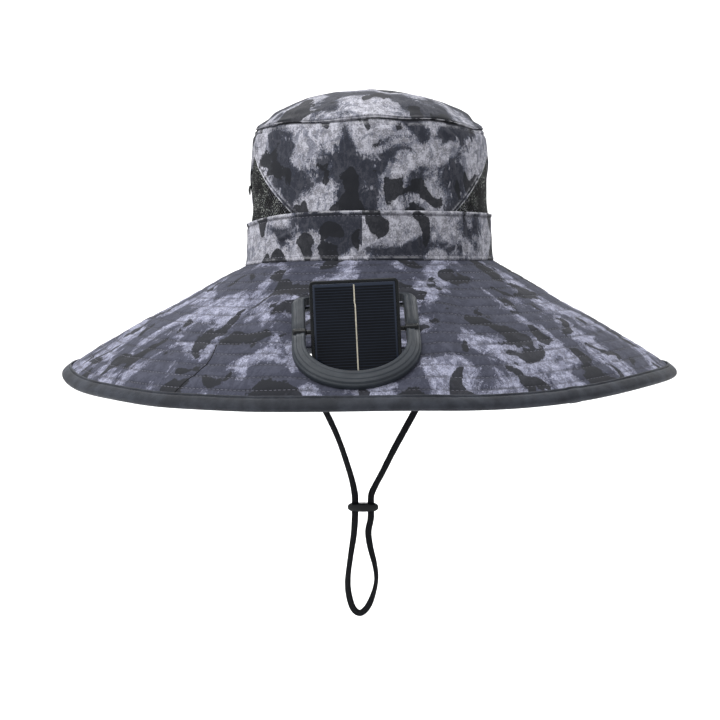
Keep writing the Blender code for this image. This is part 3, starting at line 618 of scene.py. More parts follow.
def wall_dip(angle, height):
    """Sag of the crown's wall at an angle and a height: none at the tip seam."""
    if height < BAND_HEIGHT:
        sag = SEAM_DIP + (BAND_DIP - SEAM_DIP) * height / BAND_HEIGHT
    else:
        sag = BAND_DIP * (TIP_SEAM_HEIGHT - height) / (TIP_SEAM_HEIGHT - BAND_HEIGHT)
    return sag * seam_dip(angle)


def oval_point(angle, inset, height):
    """A point inset from the seam's oval, at an angle and a height."""
    return Vector((
        (SEAM_HALF_WIDTH - inset) * sin(angle),
        -(SEAM_HALF_DEPTH - inset) * cos(angle),
        height,
    ))


def oval_normal(angle):
    """Level direction out of the crown at an angle."""
    return Vector((sin(angle) / SEAM_HALF_WIDTH, -cos(angle) / SEAM_HALF_DEPTH, 0.0)).normalized()


def oval_angle(point):
    """Angle of a point round the seam's oval."""
    return atan2(point.x / SEAM_HALF_WIDTH, -point.y / SEAM_HALF_DEPTH)


def wall_inset(height):
    """How far the band's outer face lies inside the seam's oval at a height."""
    share = table_value(CROWN_PROFILE, "height", "oval", height / TIP_SEAM_HEIGHT)
    return SEAM_HALF_WIDTH * (1.0 - share)


def band_point(angle, height):
    """Outer face of the band, with its folded top edge and its folds."""
    inset = wall_inset(height) + dent_depth(BAND_FOLDS, angle, height)
    point = oval_point(angle, inset, height - wall_dip(angle, height))
    rise = crease_rise("band", angle, height) + cloth_ripple(point)
    rise += beside_edge("band_top", BAND_HEIGHT - height) + beside_edge("band_foot", height)
    return point + oval_normal(angle) * rise


def crown_point(angle, height, piece=""):
    """Outer face of the crown's wall, which runs down behind the band."""
    free = clamp((height - BAND_HEIGHT) / BAND_OVERLAP)
    behind_fold = max(dent_depth(BAND_FOLDS, angle, height), 0.0) * (1.0 - free)
    dent = dent_depth(CROWN_DENTS, angle, height) * free + behind_fold
    inset = wall_inset(height) + CLOTH + GAP + dent
    point = oval_point(angle, inset, height - wall_dip(angle, height))
    if not piece:
        return point
    rise = (crease_rise(piece, angle, height) + cloth_ripple(point)) * free
    return point + oval_normal(angle) * rise


def seam_lift(angle):
    """Rise of the wavy tip seam over its level height."""
    return sum(row["rise"] * CLOTH * bump(angle, row) for row in SEAM_WAVES)


def tip_point(angle, share):
    """Outer face of the domed tip, from share 0 at its edge to 1 at its middle."""
    oval = table_value(DOME_PROFILE, "place", "oval", share)
    rise = table_value(DOME_PROFILE, "place", "rise", share)
    edge = oval_point(angle, wall_inset(TIP_SEAM_HEIGHT) + CLOTH - SEAM_RIDGE, 0.0)
    lift = TIP_SEAM_HEIGHT + SEAM_EASE + seam_lift(angle) * oval
    return Vector((edge.x * oval, edge.y * oval, lift + DOME_RISE * rise))


def rim_drop(angle):
    """Drop of the brim's rim at an angle: the fan unit pulls the front down."""
    sag = BRIM_FRONT_SAG * max(cos(angle), 0.0) ** 2
    waves = sum(row["rise"] * bump(angle, row) for row in RIM_WAVES)
    return (BRIM_SIDE_DROP + sag) * (1.0 - waves)


def rim_lift(angle, share):
    """Rise of the rim in front, where the flat fan unit straightens it."""
    off = turned(angle - RIM_LIFT_ANGLE) / RIM_LIFT_SPREAD
    near = max(share - RIM_LIFT_START, 0.0) / (1.0 - RIM_LIFT_START)
    return RIM_LIFT * exp(-off * off) * near * near


def sloped_point(angle, share):
    """Upper face of the brim before the fan unit's seat is pressed flat."""
    drop = table_value(BRIM_PROFILE, "reach", "drop", share)
    even = rim_drop(angle) * share + (BRIM_SIDE_DROP + BRIM_EVEN_SAG) * (1.0 - share)
    dip = SEAM_DIP * seam_dip(angle) * (1.0 - share) ** 2
    height = -GAP - dip - even * drop + rim_lift(angle, share)
    return oval_point(angle, -BRIM_REACH * share, height)


# Frames of the fan unit: X across, Y up the slope, Z out of the brim.
SEAT = (
    Matrix.Translation(sloped_point(0.0, SEAT_SHARE))
    @ Matrix.Rotation(SEAT_SLOPE, 4, "X")
    @ Matrix.Rotation(UNIT_ROLL, 4, "Z")
    @ Matrix.Translation((0.0, 0.0, -SEAT_SINK))
)
SEAT_INVERSE = SEAT.inverted()
PIVOT_LIFT = GAP + 0.5 * RING_HEIGHT
MODULE = SEAT @ Matrix.Translation((0.0, 0.0, PIVOT_LIFT)) @ Matrix.Rotation(MODULE_TILT, 4, "X")


def seat_hold(x, y):
    """How firmly the ring holds the brim flat: 1 under it, fading to 0 round it."""
    middle = RING_HALF_WIDTH - RING_BOTTOM
    if y < middle:
        off = hypot(x, y - middle) - RING_HALF_WIDTH
    else:
        off = hypot(max(abs(x) - RING_HALF_WIDTH, 0.0), max(y - RING_TOP, 0.0))
    return 1.0 - eased(min(max(off - SEAT_MARGIN, 0.0) / SEAT_FADE, 1.0))


def brim_point(angle, share):
    """Upper face of the brim, flat under the fan unit."""
    point = sloped_point(angle, share)
    if cos(angle) < 0.0:
        return point
    local = SEAT_INVERSE @ point
    end = max(share - SEAT_END_SHARE, 0.0) / (1.0 - SEAT_END_SHARE)
    hold = seat_hold(local.x, local.y) * (1.0 - eased(end))
    local.z *= 1.0 - hold
    return SEAT @ local


def vent_edge(height):
    """Angle between the side seam and a vent's edge at a height, 0 above its apex."""
    share = (VENT_APEX_HEIGHT - height) / (VENT_APEX_HEIGHT - BAND_HEIGHT)
    share = min(max(share, 0.0), 1.0 + BAND_OVERLAP / (VENT_APEX_HEIGHT - BAND_HEIGHT))
    return (VENT_SEAM_ANGLE - VENT_FRONT_ANGLE) * share


# Meshes


def add_object(name, data):
    """An object of some data, in the scene."""
    made = bpy.data.objects.new(name, data)
    bpy.context.scene.collection.objects.link(made)
    return made


def lay_flat(work):
    """Give a bmesh that still lies flat its own places as its flat pattern."""
    layer = work.loops.layers.uv.new("cloth")
    for face in work.faces:
        for loop in face.loops:
            loop[layer].uv = loop.vert.co.xy


def mesh_object(name, work):
    """An object of a finished bmesh, smooth but for its sharp edges."""
    mesh = bpy.data.meshes.new(name)
    work.to_mesh(mesh)
    work.free()
    mesh.shade_smooth()
    mesh.set_sharp_from_angle(angle=radians(50.0))
    return add_object(name, mesh)


def sheet_grid(columns, rows, point, cloth=None, painted_light_and_tone=None):
    """A grid laid on a surface: point takes shares across and up, cloth gives its flat pattern.

    The last argument paints highlights (up to 1) and shade and dark seam lines (down to -1) on the
    cloth at those shares.
    """
    work = bmesh.new()
    painted_light_layer = work.verts.layers.float.new("painted_light_and_tone") if painted_light_and_tone else None
    bmesh.ops.create_grid(work, x_segments=columns, y_segments=rows, size=1.0)
    shares = {
        vertex: (0.5 * (vertex.co.x + 1.0), 0.5 * (vertex.co.y + 1.0)) for vertex in work.verts
    }
    places = {vertex: point(*share) for vertex, share in shares.items()}
    if cloth:
        layer = work.loops.layers.uv.new("cloth")
        for face in work.faces:
            for loop in face.loops:
                loop[layer].uv = cloth(*shares[loop.vert], places[loop.vert])
    if painted_light_and_tone:
        for vertex, share in shares.items():
            vertex[painted_light_layer] = painted_light_and_tone(*share)
    for vertex, place in places.items():
        vertex.co = place
    bmesh.ops.remove_doubles(work, verts=work.verts, dist=0.00001)
    return work


def turned_outward(work, centre=None):
    """The same bmesh with its faces turned away from a centre, or outwards where it is closed."""
    bmesh.ops.recalc_face_normals(work, faces=work.faces)
    if centre is not None:
        facing = sum(
            face.normal.dot(face.calc_center_median() - centre) * face.calc_area()
            for face in work.faces
        )
        if facing < 0.0:
            bmesh.ops.reverse_faces(work, faces=work.faces)
    return work


def soften_edges(work, edges, offset, segments):
    """Round some edges of a bmesh."""
    bmesh.ops.bevel(
        work, geom=edges, offset=offset, offset_type="OFFSET", segments=segments, profile=0.5,
        affect="EDGES", material=-1,
    )


def cloth_wall(name, work, thickness):
    """An object of an open sheet, with its thickness on the inside."""
    piece = mesh_object(name, work)
    wall = piece.modifiers.new("Cloth", "SOLIDIFY")
    wall.thickness = thickness
    wall.offset = -1.0
    return piece


def moved_copies(name, template, places):
    """One mesh of many copies of a small one, each at its own matrix."""
    template.verts.ensure_lookup_table()
    corners = [vertex.co.copy() for vertex in template.verts]
    faces = [[vertex.index for vertex in face.verts] for face in template.faces]
    template.free()
    points, polygons = [], []
    for place in places:
        first = len(points)
        points.extend(place @ corner for corner in corners)
        polygons.extend([first + index for index in face] for face in faces)
    mesh = bpy.data.meshes.new(name)
    mesh.from_pydata(points, [], polygons)
    mesh.shade_smooth()
    return add_object(name, mesh)


def stitch_template(length, width, height):
    """One stitch: a small pointed grain of thread lying along X."""
    work = bmesh.new()
    bmesh.ops.create_uvsphere(work, u_segments=6, v_segments=4, radius=0.5)
    bmesh.ops.rotate(work, verts=work.verts, matrix=Matrix.Rotation(0.5 * pi, 3, "Y"))
    bmesh.ops.scale(work, verts=work.verts, vec=(length, width, height))
    return work


def stitch_places(points, normals, pitch, lift):
    """Matrices of the stitches along a line of points, a pitch apart."""
    places, walked, target = [], 0.0, 0.5 * pitch
    for low, high, normal in zip(points, points[1:], normals):
        step = high - low
        stretch = step.length
        while stretch > 0.0 and walked + stretch >= target:
            spot = low + step * ((target - walked) / stretch)
            ahead = step.normalized()
            side = normal.cross(ahead).normalized()
            up = ahead.cross(side)
            turn = Matrix((ahead, side, up)).transposed().to_4x4()
            places.append(Matrix.Translation(spot + up * lift) @ turn)
            target += pitch
        walked += stretch
    return places


def finish_piece(piece, material, body, nodes=()):
    """Give a piece its material in one slot and its body, and hide the CAD nodes that it stands
    for.
    """
    piece.data.materials.clear()
    piece.data.materials.append(material)
    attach(piece, body)
    if nodes:
        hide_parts(*nodes)
    return piece


# Shading


def set_inputs(tree, node, inputs):
    """Set a node's inputs to values or link them to other nodes' outputs."""
    for name, value in inputs.items():
        if isinstance(value, bpy.types.NodeSocket):
            tree.links.new(value, node.inputs[name])
        else:
            node.inputs[name].default_value = value


def add_node(tree, kind, inputs=(), **settings):
    """A node with its settings, and its inputs given as values or as other nodes' outputs."""
    made = tree.nodes.new(kind)
    for name, value in settings.items():
        setattr(made, name, value)
    set_inputs(tree, made, dict(inputs))
    return made


def shader_group(name, inputs, outputs):
    """An empty node group with named sockets, and its input and output nodes."""
    group = bpy.data.node_groups.new(name, "ShaderNodeTree")
    for label, kind in inputs:
        group.interface.new_socket(label, in_out="INPUT", socket_type=kind)
    for label, kind in outputs:
        group.interface.new_socket(label, in_out="OUTPUT", socket_type=kind)
    return group, group.nodes.new("NodeGroupInput"), group.nodes.new("NodeGroupOutput")


def math_node(tree, operation, first, second=0.0, third=0.0):
    """The output of a Math node of two or three values."""
    inputs = {0: first, 1: second, 2: third}
    return add_node(tree, "ShaderNodeMath", inputs, operation=operation).outputs[0]


def noise_node(tree, vector, size, detail=2.0, roughness=0.5, distortion=0.0):
    """The value of a Noise texture whose features have a size in metres."""
    inputs = {
        "Vector": vector,
        "Scale": 1.0 / size if isinstance(size, float) else size,
        "Detail": detail,
        "Roughness": roughness,
        "Distortion": distortion,
    }
    return add_node(tree, "ShaderNodeTexNoise", inputs).outputs["Fac"]


def step_node(tree, value, low, high):
    """A value brought from between low and high to between 0 and 1, with soft ends."""
    inputs = {"Value": value, "From Min": low, "From Max": high}
    made = add_node(tree, "ShaderNodeMapRange", inputs, interpolation_type="SMOOTHSTEP")
    return made.outputs["Result"]


def mix_colour(tree, factor, first, second):
    """The output of a Mix node of two colours."""
    made = tree.nodes.new("ShaderNodeMix")
    made.data_type = "RGBA"
    set_inputs(tree, made, {0: factor, 6: first, 7: second})
    return made.outputs[2]


def mapped(tree, vector, **values):
    """A place moved, turned or scaled by a Mapping node."""
    return add_node(tree, "ShaderNodeMapping", {"Vector": vector, **values}).outputs["Vector"]


def print_group():
    """Mottled print: a speckled, patchy ground, brushed clouds with a deep heart, dark spots."""
    group, source, result = shader_group(
        "hat_print",
        [
            ("Vector", "NodeSocketVector"),
            ("Light", "NodeSocketColor"),
            ("Mid", "NodeSocketColor"),
            ("Deep", "NodeSocketColor"),
            ("Spot", "NodeSocketColor"),
            ("Cloud Scale", "NodeSocketFloat"),
            ("Spot Scale", "NodeSocketFloat"),
            ("Cloud Edge", "NodeSocketFloat"),
        ],
        [("Color", "NodeSocketColor")],
    )
    place = source.outputs["Vector"]
    edge, scale = source.outputs["Cloud Edge"], source.outputs["Cloud Scale"]
    grain = noise_node(group, place, 0.0011, 3.0, 0.70)
    mottle = noise_node(group, place, 0.0055, 4.0, 0.66)
    strands = mapped(group, place, Rotation=(0.0, 0.0, 0.9), Scale=(1.0, 0.36, 1.0))
    brush = noise_node(group, strands, 0.0046, 5.0, 0.72, 1.1)
    clouds = noise_node(group, place, scale, 4.0, 0.52, 0.6)

    def shifted(value, amount, pattern):
        moved = math_node(group, "MULTIPLY_ADD", pattern, amount, -0.5 * amount)
        return math_node(group, "ADD", value, moved)

    def stepped(value, low, high):
        ends = (math_node(group, "ADD", edge, offset) for offset in (low, high))
        return step_node(group, value, *ends)

    def dimmed(label, share):
        inputs = {"Color": source.outputs[label], "Value": share}
        return add_node(group, "ShaderNodeHueSaturation", inputs).outputs["Color"]

    def laid(mask, share, below, above):
        return mix_colour(group, math_node(group, "MULTIPLY", mask, share), below, above)

    cloud = stepped(shifted(shifted(clouds, 0.42, brush), 0.18, mottle), 0.0, 0.030)
    heart = stepped(shifted(shifted(clouds, 0.20, brush), 0.16, mottle), 0.045, 0.080)
    offset = mapped(group, place, Location=(3.1, 1.7, 0.4), Scale=(1.0, 0.78, 1.0))
    spots = noise_node(group, offset, source.outputs["Spot Scale"], 1.6, 0.40, 0.7)
    crisp = step_node(group, shifted(shifted(spots, 0.17, mottle), 0.035, grain), 0.592, 0.604)
    turn, squeeze = (0.0, 0.0, 0.25), (0.62, 1.0, 1.0)
    bent = mapped(group, place, Location=(0.6, 2.2, 0.0), Rotation=turn, Scale=squeeze)
    bars = add_node(
        group, "ShaderNodeTexVoronoi",
        {"Vector": bent, "Scale": scale, "Exponent": 3.6, "Randomness": 1.0},
        voronoi_dimensions="2D", distance="MINKOWSKI",
    )
    colours = add_node(group, "ShaderNodeSeparateColor", {"Color": bars.outputs["Color"]})
    chosen = colours.outputs["Red"]
    size = math_node(group, "MULTIPLY", step_node(group, chosen, 0.40, 0.95), 0.23)
    over = math_node(group, "SUBTRACT", size, shifted(bars.outputs["Distance"], 0.34, mottle))
    crisp = math_node(group, "MAXIMUM", crisp, step_node(group, over, 0.0, 0.014))
    flecks = step_node(group, shifted(shifted(brush, 0.40, grain), 0.50, mottle), 0.470, 0.620)

    speckle = step_node(group, shifted(mottle, 0.85, grain), 0.38, 0.62)
    ground = mix_colour(group, speckle, dimmed("Light", 0.42), source.outputs["Light"])
    bright = step_node(group, shifted(grain, 0.30, mottle), 0.60, 0.70)
    ground = laid(bright, 0.55, ground, (0.72, 0.72, 0.76, 1.0))
    patches = shifted(noise_node(group, place, 0.0125, 5.0, 0.66, 0.8), 0.30, brush)
    shaded = step_node(group, patches, 0.530, 0.590)
    ground = laid(shaded, 0.62, ground, source.outputs["Mid"])
    mid = mix_colour(group, speckle, dimmed("Mid", 0.45), source.outputs["Mid"])
    mid = laid(flecks, 0.55, mid, source.outputs["Light"])
    bared = step_node(group, patches, 0.450, 0.400)
    mid = laid(bared, 0.50, mid, source.outputs["Light"])
    colour = mix_colour(group, cloud, ground, mid)
    colour = laid(heart, 0.90, colour, source.outputs["Deep"])
    colour = laid(crisp, 0.95, colour, source.outputs["Spot"])
    group.links.new(colour, result.inputs["Color"])
    return group


def weave_group():
    """Plain weave: the height of threads that pass over and under, with slubs."""
    group, source, result = shader_group(
        "plain_weave",
        [("Vector", "NodeSocketVector"), ("Pitch Scale", "NodeSocketFloat")],
        [("Height", "NodeSocketFloat")],
    )
    parts = add_node(group, "ShaderNodeSeparateXYZ", {"Vector": source.outputs["Vector"]})
    scale = source.outputs["Pitch Scale"]
    warp = math_node(group, "SINE", math_node(group, "MULTIPLY", parts.outputs["X"], scale))
    weft = math_node(group, "SINE", math_node(group, "MULTIPLY", parts.outputs["Y"], scale))
    threads = math_node(group, "MULTIPLY", warp, weft)
    slubs = noise_node(group, source.outputs["Vector"], 0.0011, 3.0, 0.6)
    raised = math_node(group, "MULTIPLY_ADD", threads, 0.22, slubs)
    group.links.new(raised, result.inputs["Height"])
    return group


def grain_group():
    """Moulded plastic: fine grain with slow unevenness, and a mask of rubbed places."""
    group, source, result = shader_group(
        "moulded_grain",
        [("Vector", "NodeSocketVector")],
        [("Height", "NodeSocketFloat"), ("Rubbed", "NodeSocketFloat")],
    )
    fine = noise_node(group, source.outputs["Vector"], 0.00045, 2.0, 0.6)
    slow = noise_node(group, source.outputs["Vector"], 0.012, 3.0, 0.55)
    height = math_node(group, "ADD", fine, math_node(group, "MULTIPLY", slow, 0.6))
    group.links.new(height, result.inputs["Height"])
    group.links.new(step_node(group, slow, 0.42, 0.66), result.inputs["Rubbed"])
    return group


def new_material(name, **values):
    """A material whose Principled shader has the given plain values, and its tree and shader."""
    material = bpy.data.materials.new(name)
    material.use_nodes = True
    tree = material.node_tree
    shader = tree.nodes["Principled BSDF"]
    for label, value in values.items():
        shader.inputs[label.replace("_", " ")].default_value = value
    return material, tree, shader


def solid(colour, factor=1.0, lift=0.0):
    """A colour for a socket, brightened by a factor and a lift."""
    return (*(min(value * factor + lift, 1.0) for value in colour), 1.0)


def feed(tree, shader, **values):
    """Link other nodes' outputs to the shader's inputs."""
    set_inputs(tree, shader, {label.replace("_", " "): value for label, value in values.items()})


def object_place(tree):
    """The place on the object, in metres."""
    return add_node(tree, "ShaderNodeTexCoord").outputs["Object"]


def relief_normal(tree, height, strength, distance):
    """The normal of a surface raised by a height."""
    inputs = {"Height": height, "Strength": strength, "Distance": distance}
    return add_node(tree, "ShaderNodeBump", inputs).outputs["Normal"]


def place_group(tree, name, inputs):
    """A node group set in a material, with its own values."""
    return add_node(tree, "ShaderNodeGroup", inputs, node_tree=bpy.data.node_groups[name])


def cloth_pattern(tree, offset=(0.0, 0.0, 0.0), turn=0.0):
    """The piece's own flat pattern in metres, moved on the roll of cloth."""
    layer = add_node(tree, "ShaderNodeUVMap", uv_map="cloth")
    return mapped(tree, layer.outputs["UV"], Location=offset, Rotation=(0.0, 0.0, turn))


def printed_cloth(name, tones, offset, turn=0.0, cloud_edge=0.474):
    """Printed cloth with its weave and painted highlights and shade along its folds: tones are the
    light, mid and deep colours.
    """
    settings = bpy.context.scene.hat_print
    material, tree, shader = new_material(
        name, Roughness=0.82, Sheen_Weight=0.04, Sheen_Roughness=0.5, Specular_IOR_Level=0.12,
    )
    pattern = cloth_pattern(tree, offset, turn)
    light, mid, deep = (solid(tone) for tone in tones)
    spot = solid(settings.spot)
    printed = place_group(tree, "hat_print", {
        "Vector": pattern,
        "Light": light,
        "Mid": mid,
        "Deep": deep,
        "Spot": spot,
        "Cloud Scale": 1.0 / settings.cloud_size,
        "Spot Scale": 1.0 / settings.spot_size,
        "Cloud Edge": cloud_edge,
    })
    weave = place_group(tree, "plain_weave", {"Vector": pattern, "Pitch Scale": 2.0 * pi / 0.0007})
    # Painted light from the vertex layer: above 0 a pale painted highlight, broken up by noise, on
    # folded edges; below 0 painted shade in the spot colour beside folds and stitch rows, and the
    # band's darker joint line.
    painted_shading_and_seam = add_node(tree, "ShaderNodeAttribute", attribute_name="painted_light_and_tone").outputs["Fac"]
    broken = step_node(tree, noise_node(tree, pattern, 0.0100, 4.0, 0.70), 0.42, 0.60)
    painted_highlight_and_rubbed = math_node(tree, "MULTIPLY", math_node(tree, "MAXIMUM", painted_shading_and_seam, 0.0), broken)
    painted_shade_and_joint = math_node(tree, "MAXIMUM", math_node(tree, "MULTIPLY", painted_shading_and_seam, -1.0), 0.0)
    colour = mix_colour(tree, painted_highlight_and_rubbed, printed.outputs["Color"], (0.66, 0.66, 0.70, 1.0))
    colour = mix_colour(tree, math_node(tree, "MINIMUM", painted_shade_and_joint, 1.0), colour, spot)
    normal = relief_normal(tree, weave.outputs["Height"], 0.55, 0.00016)
    feed(tree, shader, Base_Color=colour, Normal=normal)
    return material


def plain_cloth(name, colour, pitch, roughness, bump_strength=0.6):
    """Plain woven tape, net or thread: one colour that its weave and slow fading vary."""
    material, tree, shader = new_material(
        name, Roughness=roughness, Sheen_Weight=0.03, Specular_IOR_Level=0.15,
    )
    place = object_place(tree)
    weave = place_group(tree, "plain_weave", {"Vector": place, "Pitch Scale": 2.0 * pi / pitch})
    faded = noise_node(tree, place, 0.016, 4.0, 0.6)
    dark, light = solid(colour, 0.72), solid(colour, 1.55)
    mixed = mix_colour(tree, step_node(tree, faded, 0.32, 0.70), dark, light)
    normal = relief_normal(tree, weave.outputs["Height"], bump_strength, 0.00022)
    feed(tree, shader, Base_Color=mixed, Normal=normal)
    return material


def knotted_net(colour, pitch):
    """Black net whose knots catch the light in places."""
    material, tree, shader = new_material("vent_net", Roughness=0.6, Specular_IOR_Level=0.12)
    pattern = cloth_pattern(tree)
    uneven = step_node(tree, noise_node(tree, pattern, 0.014, 2.0, 0.6), 0.42, 0.60)
    chance = step_node(tree, noise_node(tree, pattern, 0.55 * pitch, 1.0, 0.5), 0.56, 0.64)
    glint = math_node(tree, "MULTIPLY", uneven, chance)
    dark = mix_colour(tree, uneven, solid(colour), solid(colour, 1.7))
    feed(tree, shader, Base_Color=mix_colour(tree, glint, dark, (0.34, 0.36, 0.33, 1.0)))
    return material


def moulded_plastic(name, colour, roughness, bump_strength):
    """Moulded plastic with fine grain, rubbed smoother in places."""
    material, tree, shader = new_material(name, Specular_IOR_Level=0.26, Coat_Roughness=0.08)
    grain = place_group(tree, "moulded_grain", {"Vector": object_place(tree)})
    painted_highlight_and_rubbed = grain.outputs["Rubbed"]
    plain, light = solid(colour), solid(colour, 1.18, 0.002)
    feed(
        tree, shader, Base_Color=mix_colour(tree, painted_highlight_and_rubbed, plain, light),
        Roughness=math_node(tree, "MULTIPLY_ADD", painted_highlight_and_rubbed, -0.10, roughness + 0.04),
        Normal=relief_normal(tree, grain.outputs["Height"], bump_strength, 0.00012),
    )
    return material


# Camera and studio


def place_camera():
    """A camera where the photograph was taken from: nearly level, a little to the right."""
    distance, turn, aim = 1.25, radians(2.8), Vector((-0.0069, -0.0069, -0.0724))
    data = bpy.data.cameras.new("camera")
    data.lens = 86.3
    data.sensor_width = 36.0
    camera = add_object("camera", data)
    camera.location = (distance * sin(turn), -distance * cos(turn), 0.0)
    target = Vector((aim.x * cos(turn), aim.y * sin(turn), aim.z))
    camera.rotation_euler = (target - camera.location).to_track_quat("-Z", "Y").to_euler()
    bpy.context.scene.camera = camera


def soft_light(name, place, aim, size, power):
    """A large soft lamp turned towards a point."""
    data = bpy.data.lights.new(name, "AREA")
    data.shape = "RECTANGLE"
    data.size, data.size_y = size
    data.energy = power
    lamp = add_object(name, data)
    lamp.location = place
    lamp.rotation_euler = (Vector(aim) - Vector(place)).to_track_quat("-Z", "Y").to_euler()


def make_studio():
    """White floor that curves up behind, white surround and soft lamps."""
    settings = bpy.context.scene.hat_studio
    ground = settings.ground

    bend, level_end = 1.6, 2.4

    def sweep(across, up):
        length = 9.0 * up - 4.0
        x = 8.0 * (across - 0.5)
        past = length - level_end
        if past <= 0.0:
            return Vector((x, length, ground))
        turn = min(past / bend, 0.5 * pi)
        rest = max(past - 0.5 * pi * bend, 0.0)
        return Vector((x, level_end + bend * sin(turn), ground + bend * (1.0 - cos(turn)) + rest))

    floor = mesh_object("studio_floor", sheet_grid(2, 90, sweep))
    material, tree, shader = new_material("studio_white", Roughness=0.9)
    patch = noise_node(tree, object_place(tree), 0.8, 2.0)
    feed(tree, shader, Base_Color=mix_colour(tree, patch, solid((0.93,) * 3), solid((0.95,) * 3)))
    floor.data.materials.append(material)

    world = bpy.data.worlds.new("studio")
    world.use_nodes = True
    surround = world.node_tree.nodes["Background"]
    surround.inputs["Color"].default_value = (0.97, 0.98, 1.0, 1.0)
    surround.inputs["Strength"].default_value = settings.sky
    bpy.context.scene.world = world
    bpy.context.scene.view_settings.view_transform = "Standard"

    soft_light("lamp_top", (-0.35, -0.55, 1.30), (0.0, 0.0, 0.0), (1.1, 0.9), 14.0)
    soft_light("lamp_left", (-1.25, -0.75, 0.45), (0.0, 0.0, 0.0), (0.7, 1.0), 8.5)
    soft_light("lamp_right", (1.25, -0.60, 0.60), (0.0, 0.0, 0.0), (0.6, 1.0), 2.5)
    soft_light("lamp_floor", (0.0, 1.6, 1.9), (0.0, 2.2, ground), (2.6, 1.4), 100.0)


# Chin cord and its lock

# Turn of the flat braid about its own line: share of the length, degrees from face on.
BRAID_TURNS = table(
    "along turn",
    (0.00, 45),
    (0.20, 24),
    (0.30, 34),
    (0.36, 10),
    (0.43, 40),
    (0.50, 12),
    (0.54, 62),
    (0.58, 40),
    (0.62, 14),
    (0.68, 30),
    (0.76, 8),
    (0.86, 26),
    (1.00, 45),
)


def squared_circle(turn, power):
    """A point of a unit circle drawn out towards a square by a power over 2."""
    x, y = cos(turn), sin(turn)
    reach = (abs(x) ** power + abs(y) ** power) ** (-1.0 / power)
    return x * reach, y * reach


def cord_line(step):
    """Points a step apart on a smooth curve through the route's own points."""
    route = [Vector(point) for point in CORD_ROUTE]
    route = [route[0] * 2.0 - route[1], *route, route[-1] * 2.0 - route[-2]]
    fine = []
    for before, low, high, after in zip(route, route[1:], route[2:], route[3:]):
        for part in (number / 32 for number in range(32)):
            square, cube = part * part, part * part * part
            fine.append(
                0.5 * (
                    2.0 * low
                    + (high - before) * part
                    + (2.0 * before - 5.0 * low + 4.0 * high - after) * square
                    + (3.0 * low - before - 3.0 * high + after) * cube
                )
            )
    fine.append(route[-2])
    length = sum((high - low).length for low, high in zip(fine, fine[1:]))
    count = round(length / step)
    spaced, walked, target = [fine[0]], 0.0, length / count
    for low, high in zip(fine, fine[1:]):
        stretch = (high - low).length
        while walked + stretch >= target and len(spaced) < count:
            spaced.append(low.lerp(high, (target - walked) / stretch))
            target += length / count
        walked += stretch
    return [*spaced, fine[-1]], length


def make_cord():
    """The flat braid, one whole loop through the lock, and the oval lock on it."""
    settings = bpy.context.scene.hat_cord
    line, length = cord_line(0.00045)
    sides = 20
    half_width, half_thickness = 0.5 * settings.width, 0.5 * settings.thickness

    def place(across, up):
        index = min(round(up * (len(line) - 1)), len(line) - 1)
        ahead = (line[min(index + 3, len(line) - 1)] - line[max(index - 3, 0)]).normalized()
        flat = Vector((0.0, 1.0, 0.0)).cross(ahead).normalized()
        turn = radians(table_value(BRAID_TURNS, "along", "turn", up))
        wide = Matrix.Rotation(turn, 3, ahead) @ flat
        thick = ahead.cross(wide)
        x, y = squared_circle(2.0 * pi * across, 2.6)
        along = up * length / 0.0021
        left, right = 2.0 * pi * (along + 2.0 * across), 2.0 * pi * (along - 2.0 * across)
        plait = 1.0 + 0.07 * sin(left) * sin(right)
        spot = wide * (half_width * x) + thick * (half_thickness * y * plait)
        return line[index] + spot * (1.0 + 0.04 * noise.noise(line[index] / 0.004))

    def pattern(across, up, point):
        return (across * 0.0105, up * length)

    work = sheet_grid(sides, len(line) - 1, place, pattern)
    bmesh.ops.holes_fill(work, edges=[edge for edge in work.edges if edge.is_boundary])
    turned_outward(work)
    braid = mesh_object("chin_braid", work)

    material, tree, shader = new_material("cord_braid", Roughness=0.78, Specular_IOR_Level=0.15)
    flat = cloth_pattern(tree)
    parts = add_node(tree, "ShaderNodeSeparateXYZ", {"Vector": flat})
    rate = 2.0 * pi / 0.0013
    left = math_node(tree, "ADD", parts.outputs["X"], parts.outputs["Y"])
    right = math_node(tree, "SUBTRACT", parts.outputs["X"], parts.outputs["Y"])
    left = math_node(tree, "SINE", math_node(tree, "MULTIPLY", left, rate))
    right = math_node(tree, "SINE", math_node(tree, "MULTIPLY", right, rate))
    plait = math_node(tree, "MAXIMUM", left, right)
    # The braid's colour follows its plait: painted shade in the grooves between strands and painted
    # highlight on their crests.
    dark, light = solid(settings.braid, 0.45), solid(settings.braid, 1.9)
    mixed = mix_colour(tree, step_node(tree, plait, -0.2, 1.0), dark, light)
    feed(tree, shader, Base_Color=mixed, Normal=relief_normal(tree, plait, 0.8, 0.0002))
    finish_piece(braid, material, "hat", ["chin_cord"])

    lock = make_lock()
    cord_line(0.004)[0]


